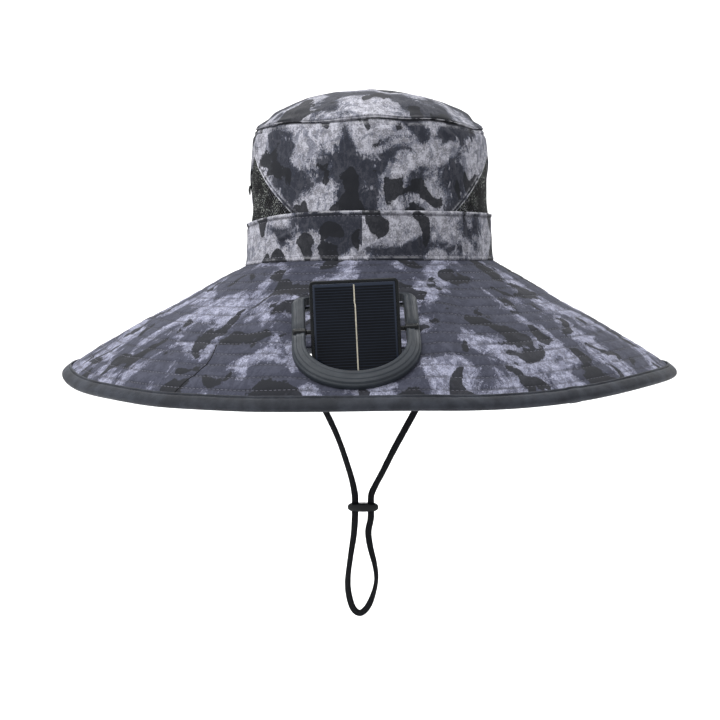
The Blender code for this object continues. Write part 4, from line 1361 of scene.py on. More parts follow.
def make_lock():
    """Oval lock with two round holes and rounded edges."""
    curve = bpy.data.curves.new("lock_outline", "CURVE")
    curve.dimensions = "2D"
    curve.fill_mode = "BOTH"
    curve.extrude = 0.5 * LOCK_HEIGHT - LOCK_SOFTNESS
    curve.bevel_depth = LOCK_SOFTNESS
    curve.bevel_resolution = 4
    curve.offset = -LOCK_SOFTNESS

    def add_oval(centre, half_width, half_depth, sides):
        spline = curve.splines.new("POLY")
        spline.points.add(sides - 1)
        spline.use_cyclic_u = True
        for step, point in enumerate(spline.points):
            x, y = squared_circle(2.0 * pi * step / sides, 2.3)
            point.co = (centre + half_width * x, half_depth * y, 0.0, 1.0)

    add_oval(0.0, LOCK_HALF_WIDTH, LOCK_HALF_DEPTH, 72)
    for side in (-0.5, 0.5):
        add_oval(side * LOCK_HOLE_SPACING, LOCK_HOLE_RADIUS, LOCK_HOLE_RADIUS, 28)
    guide = add_object("lock_outline", curve)
    graph = bpy.context.evaluated_depsgraph_get()
    mesh = bpy.data.meshes.new_from_object(guide.evaluated_get(graph))
    bpy.data.objects.remove(guide)
    work = bmesh.new()
    work.from_mesh(mesh)
    bmesh.ops.remove_doubles(work, verts=work.verts, dist=0.00002)
    for vertex in work.verts:
        end = max(abs(vertex.co.x) - LOCK_ROUND_START, 0.0) / (LOCK_HALF_WIDTH - LOCK_ROUND_START)
        swell = 0.94 + 0.06 * cos(vertex.co.x / 0.0023)
        vertex.co.z *= sqrt(max(1.0 - 0.88 * end * end, 0.05)) * swell
    bmesh.ops.translate(work, verts=work.verts, vec=LOCK_CENTRE)
    turned_outward(work)
    lock = mesh_object("lock_body", work)
    settings = bpy.context.scene.hat_unit
    material = moulded_plastic("lock_plastic", settings.housing, 0.38, 0.10)
    return finish_piece(lock, material, "hat", ["cord_lock"])


# Crown


def thicker_ends(share, amount=0.55):
    """A share moved so that columns stand closer at both ends."""
    return (1.0 - amount) * share + amount * (0.5 - 0.5 * cos(pi * share))


def arc_length(angle):
    """Length round the seam's oval up to an angle, for the cloth's flat pattern."""
    return MEAN_RADIUS * angle


def panel_height(up):
    """Height on a crown panel, from share 0 behind the band to 1 at the tip seam."""
    return PANEL_BOTTOM + (TIP_SEAM_HEIGHT - PANEL_BOTTOM) * up


def edge_fold(distance, height):
    """Relief of a panel's turned side edge, full beside a vent and lower on the seam above it."""
    share = 1.0 if height < VENT_APEX_HEIGHT else UPPER_SEAM_RELIEF
    return beside_edge("turned_edge", distance) * share


def panel_point(piece, middle, half_span, across, up):
    """Outer face of a crown panel, with its turned edges and the ridge under the tip seam."""
    height = panel_height(up)
    slack = 0.5 * GAP / SEAM_HALF_WIDTH + PANEL_SLACK
    edge = half_span - vent_edge(height) - slack
    angle = CROWN_TURN + middle + (2.0 * thicker_ends(across) - 1.0) * edge
    point = crown_point(angle, height, piece)
    near = edge - abs(turned(angle - CROWN_TURN - middle))
    below = TIP_SEAM_HEIGHT - height
    rise = edge_fold(near * WALL_RADIUS, height) + beside_edge("under_tip_seam", below)
    point += oval_normal(angle) * rise
    top = 1.0 - min(below / 0.012, 1.0)
    point.z += seam_lift(angle) * top * top
    return point


def panel_painted_light(half_span, across, up):
    """Painted highlights and painted shade of a crown panel: along the vents' folded edges and
    under the tip seam.
    """
    height = panel_height(up)
    edge = half_span - vent_edge(height)
    inset = WALL_RADIUS * edge * (1.0 - abs(2.0 * thicker_ends(across) - 1.0))
    sides = beside_edge("turned_edge_painted_light", inset) * (1.0 if height < VENT_APEX_HEIGHT else 0.35)
    return sides + beside_edge("under_tip_seam_painted_light", TIP_SEAM_HEIGHT - height)


# Cloths of the crown: node, place and turn on the roll of printed cloth, flat size in metres.
CROWN_CLOTHS = table(
    "node offset turn flat",
    ("crown_front", (0.395, 0.16, 0.0), 0.0, (0.245, 0.070)),
    ("crown_back", (0.72, 0.35, 0.0), 0.0, (0.340, 0.070)),
    ("crown_tip", (1.15, 0.52, 0.0), 0.6, (0.176, 0.202)),
    ("crown_band", (1.83, 0.77, 0.0), 0.0, (0.600, 0.036)),
)


def make_crown():
    """Front and back panels, the domed tip and the band round the crown's foot."""
    settings = bpy.context.scene.hat_print
    tones = (settings.crown_light, settings.crown_mid, settings.crown_deep)

    front = partial(panel_point, "front", 0.0, VENT_SEAM_ANGLE)
    back = partial(panel_point, "back", pi, pi - VENT_SEAM_ANGLE)
    front_painted_light = partial(panel_painted_light, VENT_SEAM_ANGLE)
    back_painted_light = partial(panel_painted_light, pi - VENT_SEAM_ANGLE)

    def unrolled(across, up, point):
        return (arc_length(oval_angle(point)), point.z)

    def unrolled_back(across, up, point):
        return (arc_length(oval_angle(-point)) + 0.4, point.z)

    def tip_inset(share):
        reach = (1.0 - table_value(DOME_PROFILE, "place", "oval", share)) * SEAM_HALF_WIDTH
        return reach + 0.0045 * min(share / DOME_PROFILE[1]["place"], 1.0)

    def tip(across, up):
        angle, share = 2.0 * pi * across, up ** 1.25
        point = tip_point(angle, share)
        along = tip_inset(share)
        rise = cloth_ripple(point) * min(along / 0.006, 1.0) + beside_edge("tip_edge", along)
        gathers = ripple(Vector((4.0 * cos(angle), 4.0 * sin(angle), 9.0 * share)), 1.1, 0.0014)
        rise += gathers * hump(along - 0.012, 0.012)
        outward = oval_normal(angle) * (1.0 - share) + Vector((0.0, 0.0, 0.2 + share))
        return point + outward.normalized() * rise

    def seen_from_above(across, up, point):
        return (point.x * 1.04, point.y * 1.04)

    # Painted highlight along the tip's folded edge, uneven round it, and painted shade just inside
    # it.
    def tip_painted_light(across, up):
        along = tip_inset(up ** 1.25)
        wavy = 0.5 + 0.5 * round_noise(2.0 * pi * across, 3.0, 7.0)
        return 1.5 * wavy * hump(along - 0.0005, 0.0008) - 0.8 * hump(along - 0.0034, 0.0010)

    def band(across, up):
        return band_point(2.0 * pi * across, BAND_HEIGHT * up - 0.0006 * (1.0 - up) ** 8)

    # Painted highlight and painted shade along the band's folded top and foot, and a darker line at
    # its joint.
    def band_painted_light_and_joint(across, up):
        edges = beside_edge("band_top_painted_light", BAND_HEIGHT * (1.0 - up))
        edges += beside_edge("band_foot_painted_light", BAND_HEIGHT * up)
        joint = hump(turned(2.0 * pi * across - BAND_JOINT), 0.008) * min(up / 0.3, 1.0)
        return edges - 0.6 * joint

    def band_pattern(across, up, point):
        return (arc_length(2.0 * pi * across), BAND_HEIGHT * up)

    surfaces = {
        "crown_front": (190, 96, front, unrolled, front_painted_light),
        "crown_back": (190, 96, back, unrolled_back, back_painted_light),
        "crown_tip": (300, 60, tip, seen_from_above, tip_painted_light),
        "crown_band": (560, 44, band, band_pattern, band_painted_light_and_joint),
    }
    for row in CROWN_CLOTHS:
        node = row["node"]
        piece = cloth_wall(node + "_cloth", sheet_grid(*surfaces[node]), CLOTH)
        material = printed_cloth(node + "_print", tones, row["offset"], row["turn"])
        finish_piece(piece, material, "hat", [node])
    make_crown_stitches()


def make_crown_stitches():
    """Stitches along the tip seam, the vents' edges, the side seams and the band."""
    settings = bpy.context.scene.hat_sewing
    pitch = settings.stitch_length
    places = []

    def sew(points, normals, lift=0.0):
        places.extend(stitch_places(points, normals, pitch, lift))

    turns = [radians(0.5 * step) for step in range(721)]
    normals = [oval_normal(turn) for turn in turns]
    sew([band_point(turn, BAND_HEIGHT - 0.0034) for turn in turns], normals)
    sew([band_point(turn, 0.0030) for turn in turns], normals)
    panels = ((0.0, VENT_SEAM_ANGLE, "front"), (pi, pi - VENT_SEAM_ANGLE, "back"))
    for middle, half_span, piece in panels:
        up = 1.0 - 0.0036 / (TIP_SEAM_HEIGHT - PANEL_BOTTOM)
        wall = [panel_point(piece, middle, half_span, step / 240, up) for step in range(241)]
        sew(wall, [oval_normal(oval_angle(point)) for point in wall])
        for side in (-1.0, 1.0):
            for inset in (0.0026, 0.0064):
                edge = []
                for step in range(121):
                    height = panel_height(0.04 + 0.93 * step / 120)
                    span = half_span - vent_edge(height) - inset / WALL_RADIUS
                    angle = CROWN_TURN + middle + side * span
                    rise = edge_fold(inset, height)
                    edge.append(crown_point(angle, height, piece) + oval_normal(angle) * rise)
                sew(edge, [oval_normal(oval_angle(point)) for point in edge])
    template = stitch_template(0.74 * pitch, 0.00042, 0.00036)
    stitches = moved_copies("crown_stitches", template, places)
    material = plain_cloth("crown_thread", settings.thread, 0.0004, 0.6)
    finish_piece(stitches, material, "hat")


def make_vents():
    """Net vents: a real lattice of threads, its edges tucked under the panels."""
    settings = bpy.context.scene.hat_sewing
    pitch, tuck, reach = settings.net_pitch, 0.0012, 0.075
    material = knotted_net(settings.net, pitch)
    middle = 0.5 * (PANEL_BOTTOM + VENT_APEX_HEIGHT)
    for label, side in (("left", -1.0), ("right", 1.0)):
        seam = CROWN_TURN + side * VENT_SEAM_ANGLE
        work = bmesh.new()
        cells = ceil(2.0 * reach / pitch)
        bmesh.ops.create_grid(work, x_segments=cells, y_segments=cells, size=0.5 * cells * pitch)
        bmesh.ops.rotate(work, verts=work.verts, matrix=Matrix.Rotation(radians(38.0), 3, "Z"))
        bmesh.ops.scale(work, verts=work.verts, vec=(1.0, 0.82, 1.0))
        outside = []
        for face in work.faces:
            spot = face.calc_center_median()
            height = spot.y + middle
            half = vent_edge(height) * WALL_RADIUS + tuck
            if not PANEL_BOTTOM < height < VENT_APEX_HEIGHT + tuck or abs(spot.x) > half:
                outside.append(face)
        bmesh.ops.delete(work, geom=outside, context="FACES")
        frames = bmesh.ops.inset_individual(work, faces=work.faces, thickness=0.24 * pitch)["faces"]
        holes = [face for face in work.faces if face not in set(frames)]
        bmesh.ops.delete(work, geom=holes, context="FACES_ONLY")
        loose = [vertex for vertex in work.verts if not vertex.link_faces]
        bmesh.ops.delete(work, geom=loose, context="VERTS")
        lay_flat(work)
        for vertex in work.verts:
            height = vertex.co.y + middle
            angle = seam + vertex.co.x / WALL_RADIUS
            weave = 0.00012 * sin(vertex.co.x / pitch * pi) * sin(vertex.co.y / pitch * pi)
            sunk = 0.0006 - weave - ripple(vertex.co, 0.012, 0.0004)
            vertex.co = crown_point(angle, height) - oval_normal(angle) * sunk
        turned_outward(work, crown_point(seam, middle) - oval_normal(seam) * 0.3)
        net = cloth_wall("vent_" + label, work, 0.00055)
        finish_piece(net, material, "hat", ["vent_net_" + label])


# Section of the press stud, from the middle of its face round its rolled edge to its back.
STUD_PROFILE = table(
    "radius height",
    (0.0, STUD_THICKNESS),
    (0.0010, 0.00155),
    (0.0019, 0.00135),
    (0.0025, 0.0010),
    (0.0028, 0.0009),
    (0.0031, 0.0011),
    (0.0034, 0.0008),
    (0.0034, 0.0003),
    (0.0031, 0.0),
    (0.0, 0.0),
)


def make_stud():
    """Press stud: a domed cap with a rolled edge on the left vent."""
    work = bmesh.new()
    points = [work.verts.new((row["radius"], 0.0, row["height"])) for row in STUD_PROFILE]
    edges = [work.edges.new(pair) for pair in zip(points, points[1:])]
    bmesh.ops.spin(
        work, geom=[*points, *edges], axis=(0.0, 0.0, 1.0), cent=(0.0, 0.0, 0.0),
        angle=2.0 * pi, steps=40, use_merge=True,
    )
    bmesh.ops.remove_doubles(work, verts=work.verts, dist=0.00001)
    turned_outward(work)
    outward = oval_normal(STUD_ANGLE)
    turn = outward.to_track_quat("Z", "Y").to_matrix().to_4x4()
    place = Matrix.Translation(crown_point(STUD_ANGLE, STUD_HEIGHT) + outward * 2.0 * GAP) @ turn
    bmesh.ops.transform(work, matrix=place, verts=work.verts)
    stud = mesh_object("stud_cap", work)
    material, tree, shader = new_material("stud_metal", Metallic=0.8)
    painted_highlight_and_rubbed = place_group(tree, "moulded_grain", {"Vector": object_place(tree)}).outputs["Rubbed"]
    colour = mix_colour(tree, painted_highlight_and_rubbed, (0.03, 0.03, 0.033, 1.0), (0.07, 0.07, 0.075, 1.0))
    rough = math_node(tree, "MULTIPLY_ADD", painted_highlight_and_rubbed, -0.15, 0.45)
    feed(tree, shader, Base_Color=colour, Roughness=rough)
    finish_piece(stud, material, "hat", ["side_stud"])


# Brim and its bound edge


def stitch_rows():
    """Shares of the brim's reach at which its rows of stitches lie."""
    count = bpy.context.scene.hat_sewing.brim_rows
    return [0.040 + 0.885 * row / max(count - 1, 1) for row in range(count)]


def brim_slope(angle):
    """Direction about out of the brim's upper face at an angle."""
    return Vector((0.0, 0.0, 0.85)) + oval_normal(angle) * 0.53


def brim_surface(angle, share, rows, lift=0.0):
    """Upper face of the brim with its rows of stitches pressed in and its small puckers."""
    point = brim_point(angle, share)
    rise = cloth_ripple(point) * (1.0 - share ** 6)
    row_width = 0.0010 / BRIM_REACH
    for number, row in enumerate(rows):
        if abs(share - row) < 4.0 * row_width:
            pull = 0.75 + 0.5 * round_noise(angle, 28.0, 5.0 * number)
            rise -= 0.00042 * pull * hump(share - row, row_width)
    gather = round_noise(angle, 34.0, 11.0 * share)
    rise += 0.00035 * gather * (1.0 - share ** 6)
    rise += 0.0006 * hump(share - 0.012, 0.008)
    return point + brim_slope(angle) * (rise + lift)


def outside_opening(local, margin):
    """Distance outside the ring's inner edge grown by a margin, in the fan unit's seat."""
    side = RING_HALF_WIDTH - RING_SIDE_WIDTH + margin
    top = RING_TOP - RING_TOP_WIDTH + margin
    middle = RING_HALF_WIDTH - RING_SIDE_WIDTH - (RING_BOTTOM - RING_BOTTOM_WIDTH)
    if local.y < middle:
        return hypot(local.x, local.y - middle) - side
    return max(abs(local.x) - side, local.y - top)


def over_opening(point, margin):
    """Whether a point of the brim's front lies over the ring's opening grown by a margin."""
    local = SEAT_INVERSE @ point
    return point.y < 0.0 and abs(local.z) < 0.02 and outside_opening(local, margin) < 0.0


def make_brim():
    """The sloping brim with its stitched rows and the fan unit's opening."""
    settings = bpy.context.scene.hat_print
    rows = stitch_rows()
    shares = [0.0]
    spread = (-0.0105, -0.0055, 0.0, 0.0055, 0.0105, 0.026, 0.042)
    for row in rows:
        shares.extend(row + offset for offset in spread)
    shares = [share for share in shares if share < 0.995] + [0.972, 0.986, 1.0]
    shares = sorted(set(round(share, 4) for share in shares if share >= 0.0))

    def top(across, up):
        index = round((1.0 - up) * len(shares))
        angle = 2.0 * pi * across
        if index == 0:
            return oval_point(angle, CLOTH, -GAP - SEAM_DIP * seam_dip(angle))
        return brim_surface(angle, shares[index - 1], rows)

    def seen_from_above(across, up, point):
        return (point.x * 1.10, point.y * 1.10)

    # Painted shade along the brim's rows of stitches, heavier in places round the brim.
    def painted_shading_and_seam(across, up):
        share = shares[max(round((1.0 - up) * len(shares)) - 1, 0)]
        angle = 2.0 * pi * across
        pull = 0.8 + 0.9 * round_noise(angle, 16.0, 9.0 * share)
        lines = sum(hump(share - row, 0.0009 / BRIM_REACH) for row in rows)
        return -0.55 * pull * lines

    work = sheet_grid(384, len(shares), top, seen_from_above, painted_shading_and_seam)
    opening = [face for face in work.faces if over_opening(face.calc_center_median(), 0.0036)]
    bmesh.ops.delete(work, geom=opening, context="FACES")
    for vertex in work.verts:
        local = SEAT_INVERSE @ vertex.co
        near = vertex.co.y < 0.0 and abs(local.z) < 0.01 and hypot(*local.xy) < 0.06
        if vertex.is_boundary and near:
            for _ in range(3):
                off = outside_opening(local, 0.0034)
                middle = Vector((0.0, max(min(local.y, 0.02), -0.0127)))
                local.xy -= (local.xy - middle).normalized() * off
            vertex.co = SEAT @ local
    brim = cloth_wall("brim_cloth", work, BRIM_CLOTH)
    tones = (settings.brim_light, settings.brim_mid, settings.brim_deep)
    material = printed_cloth("brim_print", tones, (0.47, 0.91, 0.0), 0.35, 0.44)
    finish_piece(brim, material, "hat", ["brim"])
    make_brim_stitches(rows)


# Dark sewn seam on the brim's left front: share of the reach, angle in degrees.
SEAM_LINE = table(
    "share angle",
    (0.665, -30.6),
    (0.760, -29.4),
    (0.840, -30.0),
    (0.890, -31.1),
    (0.950, -31.7),
)


def make_brim_stitches(rows):
    """Rows of stitches round the brim, and the dark seam on its left front."""
    settings = bpy.context.scene.hat_sewing
    places = []
    for row in rows:
        points, normals = [], []
        for step in range(541):
            angle = 2.0 * pi * step / 540
            point = brim_surface(angle, row, rows)
            if over_opening(point, 0.0075) or step == 540:
                places.extend(stitch_places(points, normals, settings.stitch_length, 0.0))
                points, normals = [], []
            else:
                points.append(point)
                normals.append(brim_slope(angle).normalized())
    template = stitch_template(0.72 * settings.stitch_length, 0.00040, 0.00040)
    stitches = moved_copies("brim_stitches", template, places)
    material = plain_cloth("brim_thread", settings.thread, 0.0004, 0.6)
    finish_piece(stitches, material, "hat")

    points = []
    start, end = SEAM_LINE[0]["share"], SEAM_LINE[-1]["share"]
    for step in range(121):
        share = start + (end - start) * step / 120
        angle = radians(table_value(SEAM_LINE, "share", "angle", share))
        points.append(brim_surface(angle, share, rows, 0.0001))
    length = 1.25 * settings.stitch_length
    template = stitch_template(length, 0.00075, 0.00055)
    normals = [SEAT.to_3x3() @ Vector((0.0, 0.0, 1.0))] * len(points)
    places = stitch_places(points, normals, 0.62 * length, 0.0)
    seam = moved_copies("brim_seam", template, places)
    finish_piece(seam, plain_cloth("seam_thread", settings.net, 0.0004, 0.6), "hat")


# Section of the rim's tape, from its upper inner edge round the rim: distance in from the rim and
# height over the brim's face, in millimetres.
TAPE_SECTION = table(
    "along over",
    (8.00, 0.75),
    (8.05, 1.30),
    (7.80, 1.75),
    (7.35, 1.90),
    (6.90, 1.80),
    (6.55, 1.52),
    (6.30, 1.46),
    (6.05, 1.56),
    (5.50, 1.86),
    (4.60, 2.02),
    (3.40, 2.08),
    (2.10, 2.02),
    (0.90, 1.88),
    (0.00, 1.60),
    (-0.85, 1.02),
    (-1.45, 0.20),
    (-1.70, -0.80),
    (-1.55, -1.90),
    (-1.00, -2.90),
    (-0.10, -3.55),
    (1.10, -3.85),
    (2.60, -3.95),
    (4.40, -3.90),
    (5.60, -3.80),
    (6.05, -3.55),
    (6.30, -3.45),
    (6.55, -3.55),
    (7.10, -3.85),
    (7.80, -3.75),
    (8.05, -3.20),
    (8.00, -2.75),
)


def rim_frame(angle):
    """Edge of the brim at an angle, with its inward and its upward direction."""
    edge = brim_point(angle, 1.0)
    inward = (brim_point(angle, 1.0 - TAPE_WIDTH / BRIM_REACH) - edge).normalized()
    ahead = brim_point(angle + 0.01, 1.0) - brim_point(angle - 0.01, 1.0)
    return edge, inward, ahead.cross(inward).normalized()


def tape_point(angle, row):
    """A point of the tape at an angle, puckered along its stitches and lapped at its joint."""
    edge, inward, up = rim_frame(angle)
    pucker = 0.00016 * round_noise(angle, 95.0, 0.35 * row["along"] + row["over"])
    beside = turned(angle - TAPE_JOINT)
    lap = 0.0006 * clamp((beside + TAPE_LAP) / 0.003)
    lap *= clamp((TAPE_LAP - beside) / 0.010)
    height = 0.001 * row["over"]
    side = 1.0 if height > -0.5 * BRIM_CLOTH else -1.0
    return edge + inward * (0.001 * row["along"] + pucker) + up * (height + side * (pucker + lap))


def make_binding():
    """The tape that binds the rim, and its stitches."""
    settings = bpy.context.scene.hat_sewing
    turns = [2.0 * pi * step / TAPE_STEPS for step in range(TAPE_STEPS)]
    rings = [[tape_point(turn, row) for turn in turns] for row in TAPE_SECTION]

    def tape(across, up):
        return rings[round((1.0 - up) * (len(rings) - 1))][round(across * TAPE_STEPS) % TAPE_STEPS]

    work = sheet_grid(TAPE_STEPS, len(TAPE_SECTION) - 1, tape)
    binding = cloth_wall("rim_tape", work, 0.0006)
    material = plain_cloth("edge_tape", settings.tape, 0.0009, 0.62, 0.8)
    finish_piece(binding, material, "hat", ["rim_binding"])

    places = []
    for along, over, side in ((6.30, 1.50, 1.0), (6.30, -3.48, -1.0)):
        points, normals = [], []
        for step in range(1081):
            angle = 2.0 * pi * step / 1080
            points.append(tape_point(angle, {"along": along, "over": over}))
            normals.append(rim_frame(angle)[2] * side)
        places.extend(stitch_places(points, normals, settings.stitch_length, 0.00004))
    template = stitch_template(0.74 * settings.stitch_length, 0.00045, 0.00045)
    stitches = moved_copies("tape_stitches", template, places)
    thread = plain_cloth("tape_thread", tuple(value * 1.2 for value in settings.tape), 0.0004, 0.6)
    finish_piece(stitches, thread, "hat")


# Fan unit


def d_outline(share, margin=0.0):
    """Points of the ring's D shape, from share 0 on its inside edge to 1 on its outside."""
    side = RING_HALF_WIDTH - RING_SIDE_WIDTH * (1.0 - share) + margin
    top = RING_TOP - RING_TOP_WIDTH * (1.0 - share) + margin
    bottom = RING_BOTTOM - RING_BOTTOM_WIDTH * (1.0 - share) + margin
    corner = RING_CORNER * (0.35 + 0.65 * share)
    points = []
    for step in range(9):
        turn = 0.5 * pi * step / 8
        points.append((side - corner + corner * sin(turn), top - corner + corner * cos(turn)))
    straight = [top - corner - (top - corner) * step / 24 for step in range(1, 24)]
    straight += [(side - bottom) * step / 8 for step in range(8)]
    points += [(side, y) for y in straight]
    for step in range(65):
        turn = pi * step / 64
        points.append((side * cos(turn), side - bottom - side * sin(turn)))
    points += [(-side, y) for y in reversed(straight)]
    for step in range(9):
        turn = 0.5 * pi * (1 - step / 8)
        points.append((-side + corner - corner * sin(turn), top - corner + corner * cos(turn)))
    return [Vector((x, y, 0.0)) for x, y in points]


def make_ring():
    """The D ring with its stepped face, dipped where the axle crosses it, and the axle clips."""
    settings = bpy.context.scene.hat_unit
    inside, outside = d_outline(0.0), d_outline(1.0)

    def place(across, up):
        step = round(across * len(inside)) % len(inside)
        row = RING_SECTION[round(up * len(RING_SECTION)) % len(RING_SECTION)]
        flat = inside[step].lerp(outside[step], row["across"])
        dip = 0.0019 * hump(flat.y, 0.0040) * row["height"]
        return SEAT @ (flat + Vector((0.0, 0.0, GAP + RING_HEIGHT * row["height"] - dip)))

    work = sheet_grid(len(inside), len(RING_SECTION), place)
    ring = mesh_object("ring_shell", turned_outward(work))
    material = moulded_plastic("ring_plastic", settings.ring, 0.48, 0.12)
    finish_piece(ring, material, "hat", ["fan_ring"])

    black = moulded_plastic("clip_plastic", settings.housing, 0.30, 0.10)
    length = RING_SIDE_WIDTH + 0.0004
    for name, side in (("axle_clip_left", -1.0), ("axle_clip_right", 1.0)):

        def clip(across, up, side=side):
            turn = radians(-104.0 + 208.0 * across)
            x = RING_HALF_WIDTH - RING_SIDE_WIDTH - 0.0010 + length * up
            end = min(up, 1.0 - up) * length
            radius = 0.0026 - 0.0009 * (1.0 - min(end / 0.0007, 1.0)) ** 2
            return SEAT @ Vector((side * x, radius * sin(turn), PIVOT_LIFT + radius * cos(turn)))

        centre = SEAT @ Vector((side * 0.036, 0.0, PIVOT_LIFT))
        part = cloth_wall(name, turned_outward(sheet_grid(28, 20, clip), centre), 0.0008)
        finish_piece(part, black, "hat")


def module_outline(inset):
    """Points of the module's outline, its foot rounded to fold down inside the ring."""
    side = 0.5 * MODULE_WIDTH - inset
    end = 0.5 * MODULE_LENGTH - inset
    corner = max(MODULE_CORNER - inset, 0.0005)
    inside = RING_HALF_WIDTH - RING_SIDE_WIDTH
    middle = inside - (RING_BOTTOM - RING_BOTTOM_WIDTH)
    reach = inside - MODULE_FOOT_GAP - inset
    high = atan2(sqrt(reach * reach - side * side), side)
    low = atan2(end + middle, sqrt(reach * reach - (end + middle) ** 2))
    points = []
    for step in range(7):
        turn = 0.5 * pi * step / 6
        points.append((side - corner + corner * sin(turn), end - corner + corner * cos(turn)))
    for step in range(9):
        turn = high + (low - high) * step / 8
        points.append((reach * cos(turn), middle - reach * sin(turn)))
    points += [(-x, y) for x, y in reversed(points)]
    return [Vector((x, y, 0.0)) for x, y in points]


def make_panel():
    """The solar panel with its fine lines, glossy cover and silver strip."""
    settings = bpy.context.scene.hat_unit
    low = 0.5 * MODULE_THICKNESS - PANEL_THICKNESS + PANEL_PROUD
    work = bmesh.new()
    face = work.faces.new([work.verts.new(point) for point in module_outline(PANEL_RIM)])
    bmesh.ops.translate(work, verts=work.verts, vec=(0.0, 0.0, low))
    grown = bmesh.ops.extrude_face_region(work, geom=[face])
    raised = [item for item in grown["geom"] if isinstance(item, bmesh.types.BMVert)]
    bmesh.ops.translate(work, verts=raised, vec=(0.0, 0.0, PANEL_THICKNESS))
    rim = [edge for edge in work.edges if all(vertex in raised for vertex in edge.verts)]
    soften_edges(work, rim, 0.0004, 3)
    bmesh.ops.recalc_face_normals(work, faces=work.faces)
    lay_flat(work)
    bmesh.ops.transform(work, matrix=MODULE, verts=work.verts)
    panel = mesh_object("panel_cell", work)

    material, tree, shader = new_material(
        "solar_cell", Roughness=0.30, Coat_Weight=0.30, Coat_Roughness=0.05, Coat_IOR=1.45,
        Specular_IOR_Level=0.05,
    )
    flat = cloth_pattern(tree)
    parts = add_node(tree, "ShaderNodeSeparateXYZ", {"Vector": flat})
    rate = 2.0 * pi / settings.cell_pitch
    waves = math_node(tree, "SINE", math_node(tree, "MULTIPLY", parts.outputs["Y"], rate))
    line = step_node(tree, waves, 0.45, 0.92)
    side = math_node(tree, "ABSOLUTE", parts.outputs["X"])
    inner = step_node(tree, side, 0.0247, 0.0243)
    top = step_node(tree, parts.outputs["Y"], 0.0275, 0.0268)
    within = math_node(tree, "MULTIPLY", inner, top)
    lines = math_node(tree, "MULTIPLY", line, within)
    cloudy = noise_node(tree, flat, 0.018, 3.0, 0.55)
    shade = step_node(tree, cloudy, 0.3, 0.75)
    base = mix_colour(tree, shade, solid(settings.cell), solid(settings.cell, 1.8))
    lined = mix_colour(tree, lines, base, solid(settings.cell_line))
    feed(
        tree, shader, Base_Color=mix_colour(tree, within, solid(settings.cell_line, 1.5), lined),
        Roughness=math_node(tree, "MULTIPLY_ADD", lines, 0.2, 0.30),
    )
    finish_piece(panel, material, "fan_module", ["solar_panel"])

    top_face = low + PANEL_THICKNESS
    lengths = [(0.0282, 0.0160, 0.0), (0.0160, -0.0262, 0.00035)]
    places = []
    for start, end, shift in lengths:
        size = Matrix.Diagonal((0.00078, start - end, 0.00012, 1.0))
        places.append(MODULE @ Matrix.Translation((shift, 0.5 * (start + end), top_face)) @ size)
    template = bmesh.new()
    bmesh.ops.create_cube(template, size=1.0)
    soften_edges(template, template.edges[:], 0.06, 2)
    strip = moved_copies("silver_strip", template, places)
    material, tree, shader = new_material("busbar", Metallic=0.25)
    # Tarnish of the silver strip: duller and rougher in places at random.
    painted_light_and_tone = noise_node(tree, object_place(tree), 0.0022, 3.0, 0.6)
    dull, bright = solid(settings.busbar, 0.68), solid(settings.busbar)
    feed(
        tree, shader, Base_Color=mix_colour(tree, step_node(tree, painted_light_and_tone, 0.3, 0.6), dull, bright),
        Roughness=math_node(tree, "MULTIPLY_ADD", painted_light_and_tone, 0.3, 0.25),
    )
    finish_piece(strip, material, "fan_module")


def dress_cad_nodes():
    """Finishes for the hard pieces that keep their CAD shape."""
    settings = bpy.context.scene.hat_unit
    lighter = tuple(value * 1.6 for value in settings.housing)
    finishes = table(
        "node colour roughness relief",
        ("ring_retainer", settings.ring, 0.40, 0.12),
        ("fan_housing", settings.housing, 0.24, 0.08),
        ("fan_guard", settings.housing, 0.40, 0.12),
        ("fan_rotor", lighter, 0.34, 0.10),
    )
    for row in finishes:
        name = row["node"].split("_")[1] + "_plastic"
        material = moulded_plastic(name, row["colour"], row["roughness"], row["relief"])
        for slot in bpy.data.objects[row["node"]].material_slots:
            slot.material = material


# Operators, one for each group of pieces


class HatOperator:
    """Runs one of the builders."""

    bl_options = {"REGISTER", "UNDO"}

    def execute(self, context):
        for build in self.builders:
            build()
        return {"FINISHED"}


class HAT_OT_camera(HatOperator, bpy.types.Operator):
    """Place the camera and the pale studio"""

    bl_idname = "hat.studio"
    bl_label = "Studio"
    builders = (place_camera, make_studio)


class HAT_OT_cord(HatOperator, bpy.types.Operator):
    """Make the chin cord and its lock"""

    bl_idname = "hat.cord"
    bl_label = "Chin cord"
    builders = (make_cord,)


class HAT_OT_crown(HatOperator, bpy.types.Operator):
    """Make the crown's panels, tip, band, net vents and stud"""

    bl_idname = "hat.crown"
    bl_label = "Crown"
    builders = (make_crown, make_vents, make_stud)


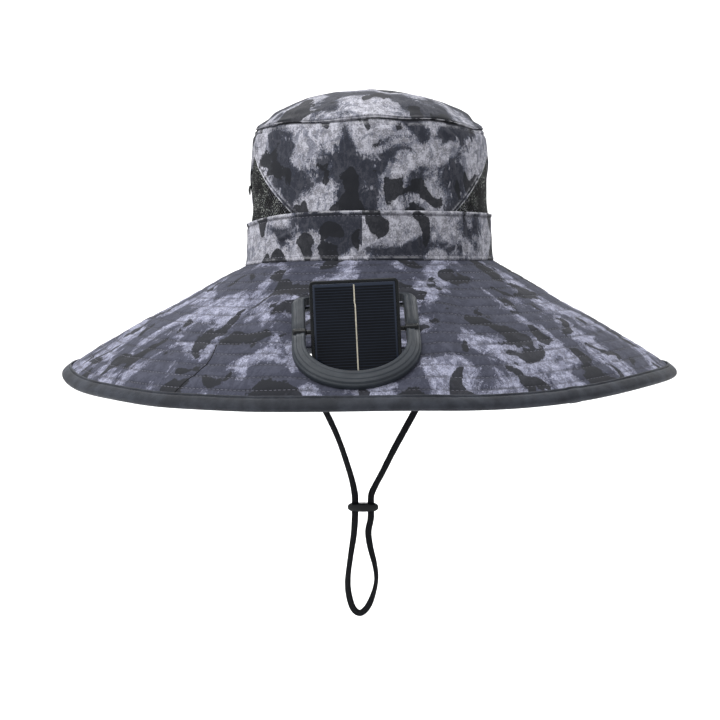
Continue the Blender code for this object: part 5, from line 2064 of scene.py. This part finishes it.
class HAT_OT_brim(HatOperator, bpy.types.Operator):
    """Make the brim and its bound edge"""

    bl_idname = "hat.brim"
    bl_label = "Brim"
    builders = (make_brim, make_binding)


class HAT_OT_unit(HatOperator, bpy.types.Operator):
    """Make the fan unit's ring and panel and finish its hard pieces"""

    bl_idname = "hat.unit"
    bl_label = "Fan unit"
    builders = (make_ring, make_panel, dress_cad_nodes)


class HAT_PT_panel(bpy.types.Panel):
    """The hat's settings and its builders, in the order that they run"""

    bl_label = "Solar fan hat"
    bl_space_type = "VIEW_3D"
    bl_region_type = "UI"
    bl_category = "Hat"

    def draw(self, context):
        for name, _ in SETTINGS:
            box = self.layout.box()
            box.label(text=name.replace("_", " ").title())
            group = getattr(context.scene, name)
            for label in group.__annotations__:
                box.prop(group, label)
        for operator in OPERATORS:
            self.layout.operator(operator.bl_idname)


SETTINGS = (
    ("hat_print", HatPrintSettings),
    ("hat_sewing", HatSewingSettings),
    ("hat_unit", HatUnitSettings),
    ("hat_cord", HatCordSettings),
    ("hat_studio", HatStudioSettings),
)
OPERATORS = (HAT_OT_camera, HAT_OT_cord, HAT_OT_brim, HAT_OT_crown, HAT_OT_unit)


def register():
    """Register the settings, the builders and the panel."""
    for name, group in SETTINGS:
        bpy.utils.register_class(group)
        setattr(bpy.types.Scene, name, PointerProperty(type=group))
    for operator in OPERATORS:
        bpy.utils.register_class(operator)
    bpy.utils.register_class(HAT_PT_panel)


def unregister():
    """Take the panel, the builders and the settings away again."""
    bpy.utils.unregister_class(HAT_PT_panel)
    for operator in reversed(OPERATORS):
        bpy.utils.unregister_class(operator)
    for name, group in reversed(SETTINGS):
        delattr(bpy.types.Scene, name)
        bpy.utils.unregister_class(group)


def main():
    """Build the whole look."""
    register()
    for build in (print_group, weave_group, grain_group):
        build()
    for operator in OPERATORS:
        call = getattr(bpy.ops.hat, operator.bl_idname.split(".")[1])
        if call() != {"FINISHED"}:
            raise RuntimeError(f"{operator.bl_label} wasn't finished")


if __name__ == "__main__":
    main()
